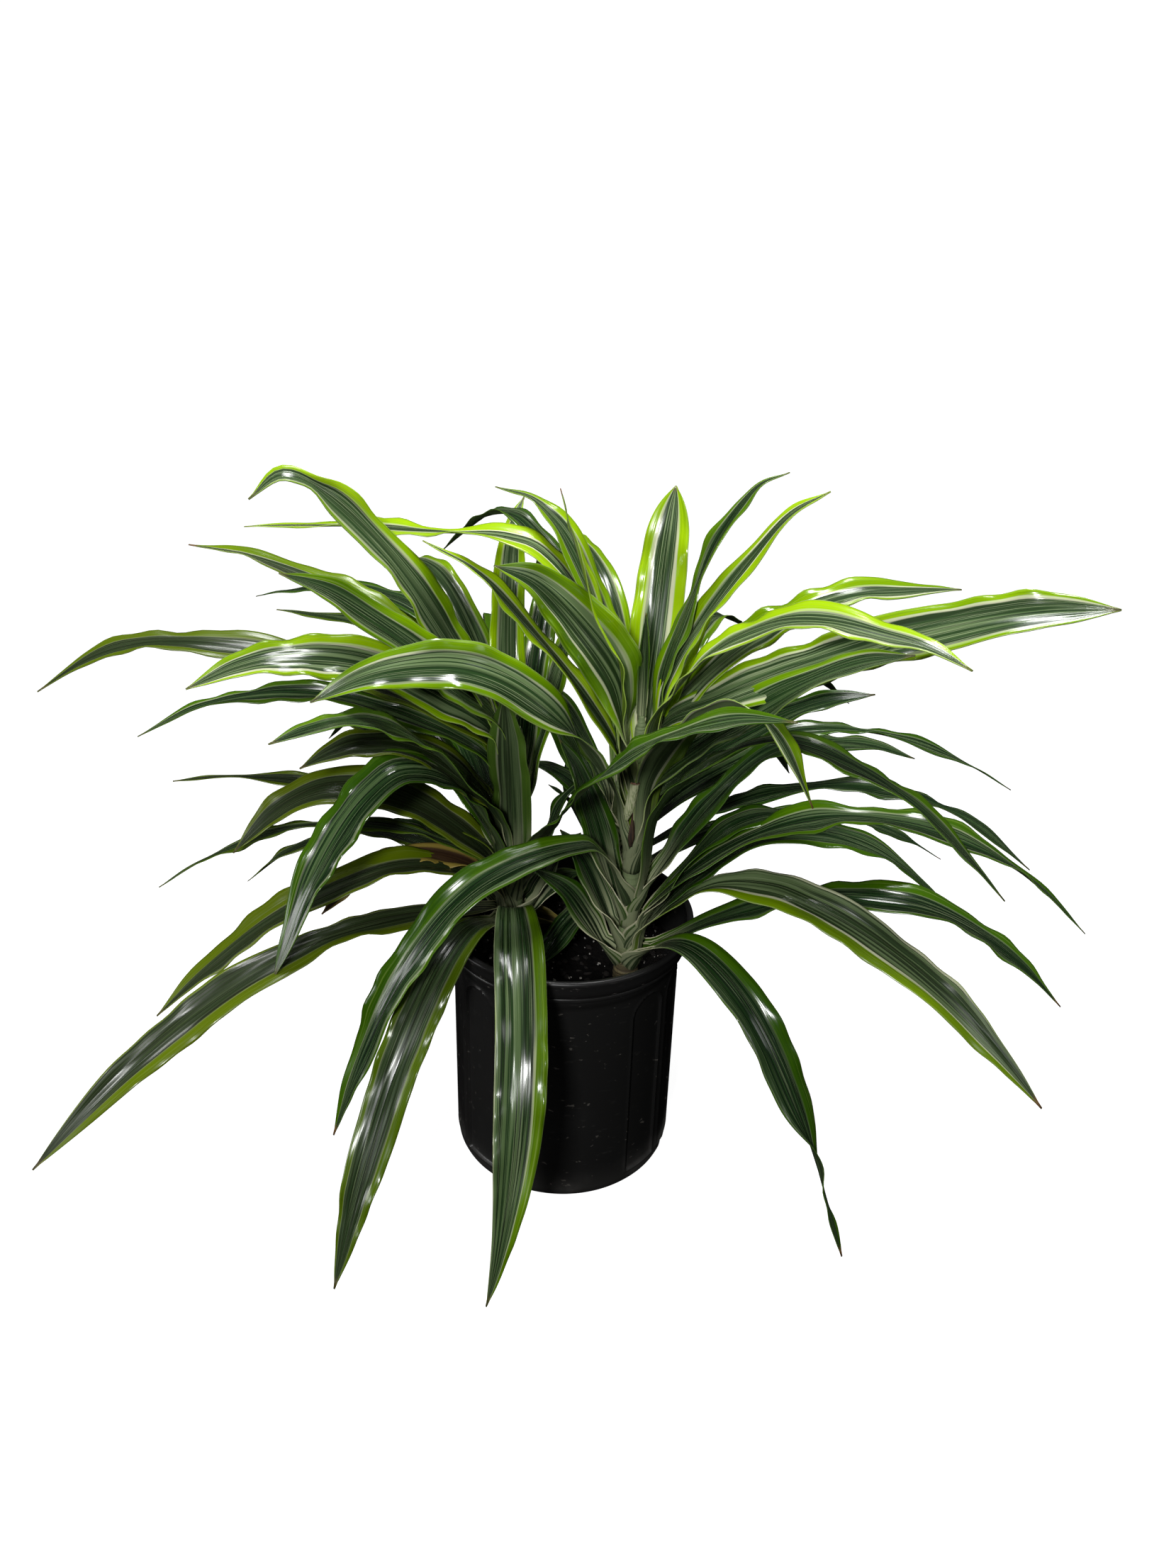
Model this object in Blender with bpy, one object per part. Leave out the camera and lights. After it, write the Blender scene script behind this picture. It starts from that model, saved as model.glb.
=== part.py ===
"""A lemon lime dracaena in a black plastic nursery pot.

Three leafy stems stand in a pot of dark soil. Each stem is one body: a woody foot, a stem of
overlapping leaf bases, and long arching leaves. Metres, +Z up, the pot's axis on Z and its
underside at Z = 0. The front of the pot faces -Y.
"""

import math
import random

import bmesh
import bpy
import numpy as np
from mathutils import Matrix, Vector

CM = 0.01
GAP = 0.0004

# The height in cm above the pot's underside that the tables of stems and leaves start from
TABLE_BASE = 1.2

# The pot
LIP_RADIUS = 0.135
POT_HEIGHT = 0.297
WALL_RADIUS_TOP = 0.1205
WALL_RADIUS_FOOT = 0.1205
WALL = 0.0026
LIP_HEIGHT = 0.009
BAND_RADIUS = 0.1285
BAND_HEIGHT = 0.020
GROOVE_DEPTH = 0.0018
FLOOR = 0.0035
FOOT_ROUND = 0.014
POT_SIDES = 40

# Recessed panels with round tops, in degrees from the front of the pot
PANEL_BEARINGS = (47, 73, 107, 133, -47, -73, -107, -133)
PANEL_ANGLE = 20
PANEL_DEPTH = 0.0011
PANEL_FOOT = 0.022
PANEL_TOP = 0.249

# Drain holes at the foot
DRAIN_BEARINGS = (-18, 72, 162, 252)
DRAIN_RADIUS = 0.008

# The soil
SOIL_TOP = 0.248
SOIL_MOUND = 0.004
SOIL_SIDES = 28

# The stems
STEM_SIDES = 10
FOOT_DEPTH = 0.075
FOOT_RADIUS = 0.0100
STEM_RADIUS = 0.0125

# The leaves
BLADE = 0.0009
SEGMENT = 0.065
SHEATH_WRAP = 1.3
SHOULDER_REACH = 2.4
ARCH_STEP = 6.0
BLADE_WRAP = 0.30
TIP_WIDTH = 0.0016
WAVE_HEIGHT = 0.0034
WAVE_LENGTH = 0.125

# Each stem: where its axis leaves the soil, where it ends, and its radius there, in cm
STEMS = {
    "cane_left": ((-6.0, 1.0, 23.6), (-5.4, 0.8, 48.0), 1.0),
    "cane_right": ((6.3, -5.0, 23.6), (6.6, -5.0, 52.0), 0.8),
    "cane_back": ((5.2, 6.8, 23.6), (5.6, 7.0, 44.0), 0.8),
}

# Each leaf: the bearing that it leaves the stem on (0 is +X, 90 is +Y), its width in mm, how far
# its face leans to the front of the pot at mid-length and at the tip in degrees, and how far the
# tip sways to the left of the bearing in cm, with the power of that bend where it isn't 2. Then
# its arch, in cm above the tables' base: the heights of its foot in the stem
# and of the shoulder where it bends away, the top and the tip as (reach, height) from the stem's
# axis, all in cm, and the power of the arch, where 1 is straight and 2 is round.
LEAVES = {
    "cane_left": [
        # Upper leaves to the left
        (201, 47, (48, 30), 0, (38, 51), (20.5, 75), (23.5, 73), 1.6),
        (222, 48, (50, 46), 0, (38.5, 50.5), (24, 69), (24, 69), 1.3),
        (203, 50, (45, 36), 0, (37, 49), (22, 59), (30.5, 57), 2),
        (190, 38, (22, 18), 0, (35, 47.5), (33, 59), (44, 54.5), 2),
        (170, 34, (14, 6), 0, (39.5, 53), (33, 65), (33, 65), 2),
        (155, 33, (4, 0), 0, (36.5, 50), (15, 60.5), (31.5, 57.5), 2),
        (163, 30, (0, 0), 0, (35.5, 46.5), (20, 58), (26, 58), 2),
        # Middle leaves to the left
        (186, 35, (14, 2), 0, (33.5, 45.5), (22, 53), (36.5, 48.5), 2),
        (232, 44, (20, 10), 0, (30.5, 39), (25, 57), (29, 57), 2),
        (207, 44, (32, 20), 0, (31.5, 40.5), (15.5, 50), (21.5, 48.5), 2),
        (220, 45, (22, 18), 0, (27.5, 37.5), (12.5, 48), (27.5, 30.5), 2),
        (176, 34, (0, 0), 0, (31, 40.5), (18, 48.5), (21.5, 47.5), 2),
        # Lower leaves to the left
        (184, 24, (4, 0), 0, (26.5, 35.5), (27, 43.5), (34, 43), 2),
        (194, 47, (38, 26), 0, (26, 34.5), (17.5, 44), (28, 37.5), 2),
        (189, 22, (0, 0), 0, (25, 33.5), (18, 39), (36, 32.5), 2),
        (172, 30, (0, 0), 0, (25.5, 32), (14.5, 35.5), (30, 27.5), 2),
        (197, 32, (10, 14), 0, (25, 32), (11, 36), (20, 30), 2),
        (206, 40, (16, 12), 0, (25, 31), (12, 36), (37, 24.5), 2),
        (218, 40, (18, 48), 0, (25, 28.5), (21, 32), (50.5, 19), 1.8),
        (245, 44, (16, 12), 0, (24.5, 27), (9.5, 30.2), (34, 5), 1.8),
        (277, 50, (0, 0), (-4, 7), (24.5, 27.5), (8, 32), (32, 5), 2.3),
        # Upright leaves in the middle of the fan
        (115, 38, (0, 10), -5.5, (39.5, 47), (12, 69), (12, 69), 1.7),
        (70, 34, (0, 0), 0, (38, 46.5), (11.5, 64), (11.5, 64), 1.8),
        (38, 33, (0, 0), 0, (36.5, 45.5), (9, 60), (9, 60), 1.6),
        # Leaves to the right, in front of the right stem and low over the soil
        (-61, 40, (35, 34), 6.5, (29, 34.5), (35.5, 62.5), (35.5, 62.5), 1.6),
        (14, 36, (12, 6), 0, (24.5, 27.5), (7.5, 31.5), (7.5, 31.5), 2),
        # The dried stub over the soil
        (-8, 14, (0, 0), 0, (24.5, 25.5), (5.5, 26.5), (5.5, 26.5), 2),
        # Leaves to the back
        (128, 42, (0, 0), 0, (37.5, 47.5), (17, 61.5), (26, 59), 2),
        (98, 42, (0, 0), 0, (33, 40.5), (18, 54), (37, 42), 2),
        (142, 40, (0, 0), 0, (29, 35.5), (17, 45), (29, 39), 2),
        (112, 40, (0, 0), 0, (25.5, 31), (18, 39.5), (33, 30), 2),
        (150, 36, (0, 0), 0, (24.5, 27.5), (13, 33), (31, 21.5), 2),
        # Broad leaves that hide the stem, to the front and between the stems
        (262, 48, (0, 0), 0, (31, 35), (4.5, 54), (4.5, 54), 1.4),
        (0, 38, (0, 0), 0, (29.5, 33), (7.5, 44), (7.5, 44), 1.6),
        (18, 36, (0, 0), 0, (26, 28.5), (7.5, 36), (7.5, 36), 1.6),
    ],
    "cane_right": [
        # Upright leaves and the rolled young leaf
        (73, 48, (0, 0), 0, (46.5, 55), (8.5, 73), (8.5, 73), 1.3),
        (90, 15, (0, 0), 0, (48.5, 54), (1, 63), (1, 63), 1.5),
        (15, 30, (6, 0), 0, (45, 58.5), (12.5, 75.5), (12.5, 75.5), 2.2),
        (-6, 34, (22, 22), 0, (44.5, 57.5), (15, 75), (15, 75), 1.5),
        (33, 36, (10, 10), 0, (44, 54.5), (11, 66), (11, 66), 1.7),
        # Upper leaves to the right
        (-22, 47, (48, 44), 0, (42.5, 53), (38.5, 69.5), (38.5, 69.5), 1.5),
        (6, 40, (24, 18), 0, (41.5, 53), (24, 65.5), (29, 65.5), 2.4),
        (-42, 41, (26, 16), 0, (43, 54.5), (24, 67.5), (31, 66.5), 2.8),
        (-30, 45, (34, 30), 0, (36.5, 47.5), (24.5, 64.5), (24.5, 64.5), 1.5),
        (-56, 38, (-12, -30), 3, (37.5, 47.5), (14, 58.5), (20.5, 52), 2),
        # Middle leaves to the right
        (-27, 38, (0, -6), 0, (30, 43.5), (15, 54), (35, 44), 2),
        (-20, 42, (14, -14), 0, (27, 33), (25, 47.5), (42, 40), 2.2),
        (-10, 42, (6, 2), 0, (25.5, 31), (17.5, 43), (30.5, 37), 2),
        (-31, 44, (24, 22), 0, (24.5, 31), (14.5, 39.5), (42, 26.5), 2),
        (-16, 40, (14, 4), 0, (24.5, 27.5), (26, 38.5), (42, 30), 2),
        (-44, 40, (22, 10), 0, (24.5, 27.5), (8.5, 31.5), (29.5, 6.5), 2),
        # Leaves to the left, over and in front of the left stem
        (204, 41, (24, 18), 0, (32.5, 37.5), (6, 40.5), (31.5, 12.5), 2.8),
        (172, 33, (6, 4), 0, (41, 50.5), (20.5, 68.5), (20.5, 68.5), 1.5),
        (190, 36, (16, 10), 0, (44.5, 59), (8, 74.5), (8, 74.5), 0.8),
        (205, 47, (55, 50), 0, (45, 57), (14.5, 69), (14.5, 69), 1.7),
        (166, 40, (8, 0), 0, (42, 55), (13, 69), (39.5, 67.5), 2.4),
        (152, 40, (6, 0), 0, (43.5, 57), (16, 72.5), (16, 72.5), 2.6),
        (138, 34, (0, 0), 0, (41, 52.5), (17.5, 69), (27.5, 63.5), 1.8),
        (198, 50, (50, 48), 0, (38.5, 46), (20.5, 60), (30, 57.5), 2.2),
        # Leaves to the back
        (62, 40, (0, 0), 0, (41, 51), (14, 58.5), (25, 55), 2),
        (112, 38, (0, 0), 0, (40, 52.5), (17, 65), (31, 57), 2),
        # Lower leaves to both sides of the stem
        (172, 38, (10, 10), 0, (24.5, 27), (10, 35.5), (10, 35.5), 1.8),
        (155, 40, (0, 0), 0, (27, 30.5), (8, 39), (8, 39), 1.6),
        (143, 40, (6, 0), 0, (30.5, 34.5), (9.5, 48), (9.5, 48), 1.5),
        (8, 44, (0, 0), 0, (31.5, 35.5), (16, 50), (20, 49), 1.8),
        (-6, 42, (0, 0), 0, (28, 32), (13, 44), (19, 43), 1.8),
    ],
    "cane_back": [
        # Leaves to the right, behind the right stem
        (-15, 34, (0, 0), 0, (27, 32), (27, 44), (42.5, 37.5), 2),
        (-12, 38, (34, 24), 0, (33, 38.5), (25, 53.5), (25, 53.5), 1.6),
        (-3, 26, (0, 0), 0, (31.5, 37), (22, 48), (41, 42), 2),
        (5, 38, (6, 0), 0, (29.5, 34.5), (22, 45), (32, 43), 2),
        (12, 30, (0, 0), 0, (25.5, 29), (19, 35), (39.5, 27.5), 2),
        # Leaves to the back
        (30, 40, (0, 0), 0, (33.5, 40), (18, 50), (31, 44), 2),
        (48, 42, (0, 0), 0, (26.5, 32), (17, 40.5), (34, 30), 2),
        (68, 42, (0, 0), 0, (30.5, 37), (17, 47.5), (33, 37.5), 2),
        (88, 42, (0, 0), 0, (34.5, 41), (16, 52), (32, 42.5), 2),
        (102, 38, (0, 0), 0, (25, 28.5), (14, 35), (31, 22.5), 2),
        (128, 40, (0, 0), 0, (29, 34), (17.5, 45), (28, 41), 2),
        (150, 36, (0, 0), 0, (34, 40), (12, 49), (15, 48), 2),
        (165, 34, (0, 0), 0, (31, 36), (9.5, 41), (12.5, 40.5), 2),
        (75, 30, (0, 0), 0, (40.5, 48), (4.5, 56), (4.5, 56), 1.3),
        # A low leaf over the soil
        (238, 36, (0, 0), 0, (25, 26.5), (5, 28), (15, 25.2), 2),
        # Leaves to the left, between the other two stems
        (190, 38, (0, 0), 0, (33, 37), (8.5, 49), (8.5, 49), 1.6),
        (197, 36, (0, 0), 0, (27.5, 31), (8, 41), (8, 41), 1.7),
    ],
}


def material(name, colour, roughness):
    made = bpy.data.materials.new(name)
    made.use_nodes = True
    made.diffuse_color = (*colour, 1)
    shader = made.node_tree.nodes["Principled BSDF"]
    shader.inputs["Base Color"].default_value = (*colour, 1)
    shader.inputs["Roughness"].default_value = roughness
    shader.inputs["Metallic"].default_value = 0
    return made


def object_from(name, shape, finish=None, helper=False):
    """An object of this bmesh, placed in the world as modelled."""
    mesh = bpy.data.meshes.new(name)
    shape.to_mesh(mesh)
    shape.free()
    made = bpy.data.objects.new(name, mesh)
    bpy.context.scene.collection.objects.link(made)
    if finish:
        mesh.materials.append(finish)
    if helper:
        made.hide_render = True
        made.display_type = "WIRE"
    return made


def turned(profile, sides):
    """A closed solid of revolution from (radius, height) points that start and end on the axis."""
    shape = bmesh.new()
    verts = [shape.verts.new((radius, 0, height)) for radius, height in profile]
    edges = [shape.edges.new(pair) for pair in zip(verts, verts[1:])]
    bmesh.ops.spin(shape, geom=verts + edges, axis=(0, 0, 1), cent=(0, 0, 0),
                   angle=math.tau, steps=sides, use_merge=True)
    bmesh.ops.remove_doubles(shape, verts=shape.verts, dist=1e-6)
    bmesh.ops.recalc_face_normals(shape, faces=shape.faces)
    return shape


def apply_modifiers(target):
    """Swaps the object's mesh for what its modifiers make, and removes them."""
    graph = bpy.context.evaluated_depsgraph_get()
    mesh = bpy.data.meshes.new_from_object(target.evaluated_get(graph))
    target.modifiers.clear()
    target.data = mesh


def subtract(target, cutters):
    """Cuts the cutters, which don't touch each other, out of the target and removes them."""
    holder = bpy.data.collections.new("cutters")
    bpy.context.scene.collection.children.link(holder)
    for cutter in cutters:
        bpy.context.scene.collection.objects.unlink(cutter)
        holder.objects.link(cutter)
    cut = target.modifiers.new("cut", "BOOLEAN")
    cut.operation = "DIFFERENCE"
    cut.operand_type = "COLLECTION"
    cut.collection = holder
    apply_modifiers(target)
    for cutter in cutters:
        bpy.data.objects.remove(cutter)
    bpy.data.collections.remove(holder)


def keep_outer_skin(target):
    """Keeps the largest connected skin, which fills what the leaf bases seal between them."""
    shape = bmesh.new()
    shape.from_mesh(target.data)
    waiting = set(shape.verts)
    skins = []
    while waiting:
        edge = [waiting.pop()]
        skin = set(edge)
        while edge:
            for link in edge.pop().link_edges:
                for vert in link.verts:
                    if vert in waiting:
                        waiting.discard(vert)
                        skin.add(vert)
                        edge.append(vert)
        skins.append(skin)
    skins.sort(key=len)
    for skin in skins[:-1]:
        bmesh.ops.delete(shape, geom=list(skin), context="VERTS")
    shape.to_mesh(target.data)
    shape.free()


def front_angle(bearing):
    """The angle in radians from +X of a bearing in degrees from the front of the pot."""
    return math.radians(bearing - 90)


def panel_cutter(bearing):
    """A curved slab with a round top that stands in the outer face of the wall."""
    half = math.radians(PANEL_ANGLE / 2)
    middle = front_angle(bearing)
    arch = half * WALL_RADIUS_TOP
    shoulder = PANEL_TOP - arch
    columns = np.linspace(-1, 1, 5)
    shape = bmesh.new()
    rims = []
    for radius in (WALL_RADIUS_TOP - PANEL_DEPTH, LIP_RADIUS):
        rows = []
        for column in columns:
            angle = middle + half * column
            top = shoulder + arch * math.sqrt(max(0, 1 - column * column))
            flare = (WALL_RADIUS_FOOT - WALL_RADIUS_TOP) if radius < WALL_RADIUS_TOP else 0
            outward = Vector((math.cos(angle), math.sin(angle), 0))
            rows.append([
                shape.verts.new(outward * (radius + flare) + Vector((0, 0, PANEL_FOOT))),
                shape.verts.new(outward * radius + Vector((0, 0, top))),
            ])
        rims.append(rows)
    inner, outer = rims
    for side, turn in ((inner, 1), (outer, -1)):
        for left, right in zip(side, side[1:]):
            shape.faces.new([left[0], right[0], right[1], left[1]][::turn])
    for first in range(len(columns) - 1):
        for level in (0, 1):
            near = (inner[first][level], inner[first + 1][level])
            far = (outer[first + 1][level], outer[first][level])
            shape.faces.new(near + far)
    for end in (0, -1):
        shape.faces.new([inner[end][0], inner[end][1], outer[end][1], outer[end][0]])
    bmesh.ops.recalc_face_normals(shape, faces=shape.faces)
    return object_from("panel cutter", shape, helper=True)


def drain_cutter(bearing):
    """A round peg through the rounded corner at the foot, along the corner's slope."""
    angle = front_angle(bearing)
    shape = bmesh.new()
    bmesh.ops.create_cone(shape, cap_ends=True, segments=12, radius1=DRAIN_RADIUS, radius2=DRAIN_RADIUS,
                          depth=0.03)
    outward = Vector((math.cos(angle), math.sin(angle), 0))
    tilt = Matrix.Rotation(angle, 4, "Z") @ Matrix.Rotation(math.radians(115), 4, "Y")
    place = outward * (WALL_RADIUS_FOOT - 0.001) + Vector((0, 0, 0.0105))
    bmesh.ops.transform(shape, matrix=Matrix.Translation(place) @ tilt, verts=shape.verts)
    return object_from("drain cutter", shape, helper=True)


def pot_outside():
    """The outer profile from the axis at the underside up to the top of the lip."""
    corner = [
        (WALL_RADIUS_FOOT - FOOT_ROUND * (1 - math.sin(turn)), FOOT_ROUND * (1 - math.cos(turn)))
        for turn in (0, math.radians(30), math.radians(60), math.radians(90))
    ]
    band_foot = POT_HEIGHT - LIP_HEIGHT - BAND_HEIGHT
    return [
        (0, 0),
        *corner,
        (WALL_RADIUS_TOP, band_foot - 0.012),
        (WALL_RADIUS_TOP + 0.0045, band_foot - 0.0035),
        (BAND_RADIUS - 0.004, band_foot - 0.0015),
        (BAND_RADIUS - GROOVE_DEPTH, band_foot),
        (BAND_RADIUS + 0.0012, band_foot + 0.002),
        (BAND_RADIUS + 0.0022, POT_HEIGHT - LIP_HEIGHT - 0.002),
        (LIP_RADIUS - 0.0014, POT_HEIGHT - LIP_HEIGHT),
        (LIP_RADIUS, POT_HEIGHT - LIP_HEIGHT + 0.002),
        (LIP_RADIUS, POT_HEIGHT - 0.003),
        (LIP_RADIUS - 0.0022, POT_HEIGHT),
    ]


def pot_inside():
    """The inner profile from the top of the lip down to the axis on the floor."""
    band_foot = POT_HEIGHT - LIP_HEIGHT - BAND_HEIGHT
    return [
        (LIP_RADIUS - 0.0062, POT_HEIGHT),
        (LIP_RADIUS - 0.0074, POT_HEIGHT - 0.002),
        (BAND_RADIUS + 0.0022 - WALL, POT_HEIGHT - LIP_HEIGHT - 0.002),
        (BAND_RADIUS - 0.0035 - WALL, band_foot),
        (WALL_RADIUS_TOP - WALL, band_foot - 0.013),
        (WALL_RADIUS_FOOT - WALL, FOOT_ROUND),
        (WALL_RADIUS_FOOT - WALL - 0.004, FLOOR + 0.003),
        (WALL_RADIUS_FOOT - FOOT_ROUND + 0.003, FLOOR),
        (0, FLOOR),
    ]


def make_pot(finish):
    pot = object_from("pot", turned(pot_outside() + pot_inside(), POT_SIDES), finish)
    subtract(pot, [panel_cutter(bearing) for bearing in PANEL_BEARINGS])
    subtract(pot, [drain_cutter(bearing) for bearing in DRAIN_BEARINGS])
    return pot


def stem_axis(name, height):
    """The point of the stem's axis at this height, which runs on straight below the soil."""
    (x0, y0, z0), (x1, y1, z1), _ = STEMS[name]
    share = max(0.0, (height / CM - TABLE_BASE - z0) / (z1 - z0))
    return Vector((x0 + (x1 - x0) * share, y0 + (y1 - y0) * share, height / CM)) * CM


def ring(name, height, radius):
    centre = stem_axis(name, height)
    return [
        centre + Vector((radius * math.cos(turn), radius * math.sin(turn), 0))
        for turn in (math.tau * step / STEM_SIDES for step in range(STEM_SIDES))
    ]


def lofted(rings):
    """A closed solid through rings of points, capped at both ends."""
    shape = bmesh.new()
    loops = [[shape.verts.new(point) for point in points] for points in rings]
    for low, high in zip(loops, loops[1:]):
        for step in range(len(low)):
            after = (step + 1) % len(low)
            shape.faces.new((low[step], low[after], high[after], high[step]))
    shape.faces.new(loops[0][::-1])
    shape.faces.new(loops[-1])
    return shape


def make_soil(finish):
    """The potting mix, with a plain blind hole for each stem's foot."""
    wall = WALL_RADIUS_TOP - WALL - GAP
    profile = [
        (0, FLOOR + GAP),
        (WALL_RADIUS_FOOT - FOOT_ROUND + 0.002, FLOOR + GAP),
        (wall - 0.004, FLOOR + 0.004),
        (wall, FOOT_ROUND + 0.001),
        (wall, SOIL_TOP - 0.003),
        (wall - 0.006, SOIL_TOP),
        (wall * 0.6, SOIL_TOP + SOIL_MOUND),
        (0, SOIL_TOP + SOIL_MOUND * 0.6),
    ]
    soil = object_from("soil", turned(profile, SOIL_SIDES), finish)
    holes = []
    for name in STEMS:
        foot = ring(name, SOIL_TOP - FOOT_DEPTH - GAP, FOOT_RADIUS + GAP)
        top = [point + Vector((0, 0, FOOT_DEPTH + 0.03)) for point in foot]
        holes.append(object_from("stem hole", lofted([foot, top]), helper=True))
    subtract(soil, holes)
    return soil


def smooth_line(points, count):
    """Points at equal steps along a smooth curve through these points, as rows of an array."""
    knots = np.array(points, float)
    knots = np.vstack([2 * knots[0] - knots[1], knots, 2 * knots[-1] - knots[-2]])
    fine = []
    for before, start, end, after in zip(knots, knots[1:], knots[2:], knots[3:]):
        for share in np.linspace(0, 1, 12, endpoint=False):
            fine.append(0.5 * (2 * start + (end - before) * share
                               + (2 * before - 5 * start + 4 * end - after) * share ** 2
                               + (3 * start - before - 3 * end + after) * share ** 3))
    fine.append(knots[-2])
    fine = np.array(fine)
    along = np.concatenate([[0], np.cumsum(np.linalg.norm(np.diff(fine, axis=0), axis=1))])
    steps = np.linspace(0, along[-1], count + 1)
    return np.stack([np.interp(steps, along, column) for column in fine.T], axis=1), along[-1]


def ease(share):
    """0 to 1 with level ends."""
    share = min(1.0, max(0.0, share))
    return share * share * (3 - 2 * share)


def leaf_width(share, width):
    """A leaf is narrow where it clasps the stem, widest past the middle, and ends in a point."""
    spread = 0.52 + 0.48 * ease((share - 0.04) / 0.32)
    point = max(0.0, (share - 0.55) / 0.45)
    return max(TIP_WIDTH, width * spread * (1 - point ** 2.8) * (1 - 0.08 * point))


def leaf_wrap(share):
    """Half the angle that the blade curls through across its width, in radians."""
    return SHEATH_WRAP + (BLADE_WRAP - SHEATH_WRAP) * ease(share / 0.24)


def stem_radius(name, height):
    """The stem's radius in cm at this height in cm: even at first, narrower over its top third."""
    (_, _, soil), (_, _, top), end_radius = STEMS[name]
    narrowing = soil * 0.3 + top * 0.7
    share = min(1.0, max(0.0, (height - narrowing) / (top - narrowing)))
    return STEM_RADIUS / CM + (end_radius - STEM_RADIUS / CM) * share


def leaf_midline(name, leaf):
    """(reach, height) knots in cm: up along the stem, up the arch to its top, and down to the tip."""
    (foot, shoulder), (top_reach, top), (tip_reach, tip), arch = leaf[4:]
    bend = min(SHOULDER_REACH, 0.35 * tip_reach)
    start = min(stem_radius(name, foot) - 0.35, 0.6 * bend)
    knots = [(start, foot), (start + (bend - start) * 0.5, (foot + shoulder) / 2), (bend, shoulder)]
    steps = max(2, round(math.hypot(top_reach - bend, top - shoulder) / ARCH_STEP))
    for step in range(1, steps + 1):
        share = step / steps
        knots.append((bend + (top_reach - bend) * share, top - (top - shoulder) * (1 - share) ** arch))
    steps = math.ceil(math.hypot(tip_reach - top_reach, tip - top) / ARCH_STEP)
    for step in range(1, steps + 1):
        share = step / steps
        knots.append((top_reach + (tip_reach - top_reach) * share, top - (top - tip) * share ** arch))
    return [(reach, height + TABLE_BASE) for reach, height in knots]


def leaf_rings(name, leaf, draw):
    """Rings of six points along a leaf: the upper face from left to right, then the lower face back."""
    bearing, width, (lean_middle, lean_tip), sway = leaf[:4]
    sway, bend = sway if isinstance(sway, tuple) else (sway, 2)
    midline = np.array(leaf_midline(name, leaf)) * CM
    heading = math.radians(bearing)
    out = Vector((math.cos(heading), math.sin(heading), 0))
    left = Vector((-math.sin(heading), math.cos(heading), 0))
    toward_front = -math.copysign(1, math.cos(heading))
    rough, length = smooth_line(midline, 8)
    count = max(6, round(length / SEGMENT))
    line, length = smooth_line(midline, count)
    reach_end = line[-1][0]
    phase = [draw.uniform(0, math.tau) for _ in range(2)]
    foot = stem_axis(name, midline[0][1])
    points = [
        Vector((foot.x, foot.y, 0)) + out * reach + left * (sway * CM * (reach / reach_end) ** bend)
        + Vector((0, 0, height))
        for reach, height in line
    ]
    rings = []
    for step, point in enumerate(points):
        share = step / count
        tangent = (points[min(step + 1, count)] - points[max(step - 1, 0)]).normalized()
        side = (left - tangent * left.dot(tangent)).normalized()
        normal = tangent.cross(side)
        if share < 0.5:
            lean = lean_middle * ease(share / 0.5)
        else:
            lean = lean_middle + (lean_tip - lean_middle) * (share - 0.5) * 2
        roll = math.radians(lean) * toward_front
        side, normal = (side * math.cos(roll) - normal * math.sin(roll),
                        normal * math.cos(roll) + side * math.sin(roll))
        half = leaf_width(share, width / 1000) / 2
        wrap = leaf_wrap(share)
        rise = ease((share - 0.15) / 0.25) * ease((1 - share) / 0.2)
        upper, lower = [], []
        for edge, turn in ((1, phase[0]), (0, 0), (-1, phase[1])):
            slope = wrap * edge / 2
            cycle = math.tau * share * length / WAVE_LENGTH + turn
            wave = WAVE_HEIGHT * rise * abs(edge) * math.sin(cycle)
            place = (point + side * (half * math.sin(wrap * edge) / wrap)
                     + normal * (half * (1 - math.cos(wrap * edge)) / wrap + wave))
            across = normal * math.cos(slope) - side * math.sin(slope)
            upper.append(place + across * (BLADE / 2))
            lower.append(place - across * (BLADE / 2))
        rings.append(upper + lower[::-1])
    return rings


def leaf_shape(name, leaf, draw):
    """One leaf as a closed solid, with the same diagonals on its upper and lower faces."""
    shape = bmesh.new()
    loops = [[shape.verts.new(point) for point in points] for points in leaf_rings(name, leaf, draw)]
    upper_left, upper_mid, upper_right, lower_right, lower_mid, lower_left = range(6)
    strips = ((upper_left, upper_mid, False), (upper_mid, upper_right, True),
              (upper_right, lower_right, False), (lower_right, lower_mid, False),
              (lower_mid, lower_left, True), (lower_left, upper_left, False))
    for near, far in zip(loops, loops[1:]):
        for first, second, flipped in strips:
            if flipped:
                shape.faces.new((near[first], near[second], far[first]))
                shape.faces.new((near[second], far[second], far[first]))
            else:
                shape.faces.new((near[first], near[second], far[second]))
                shape.faces.new((near[first], far[second], far[first]))
    halves = ((upper_left, upper_mid, lower_mid, lower_left),
              (upper_mid, upper_right, lower_right, lower_mid))
    for loop, turn in ((loops[0], -1), (loops[-1], 1)):
        for half in halves:
            shape.faces.new([loop[corner] for corner in half][::turn])
    bmesh.ops.recalc_face_normals(shape, faces=shape.faces)
    return shape


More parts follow.
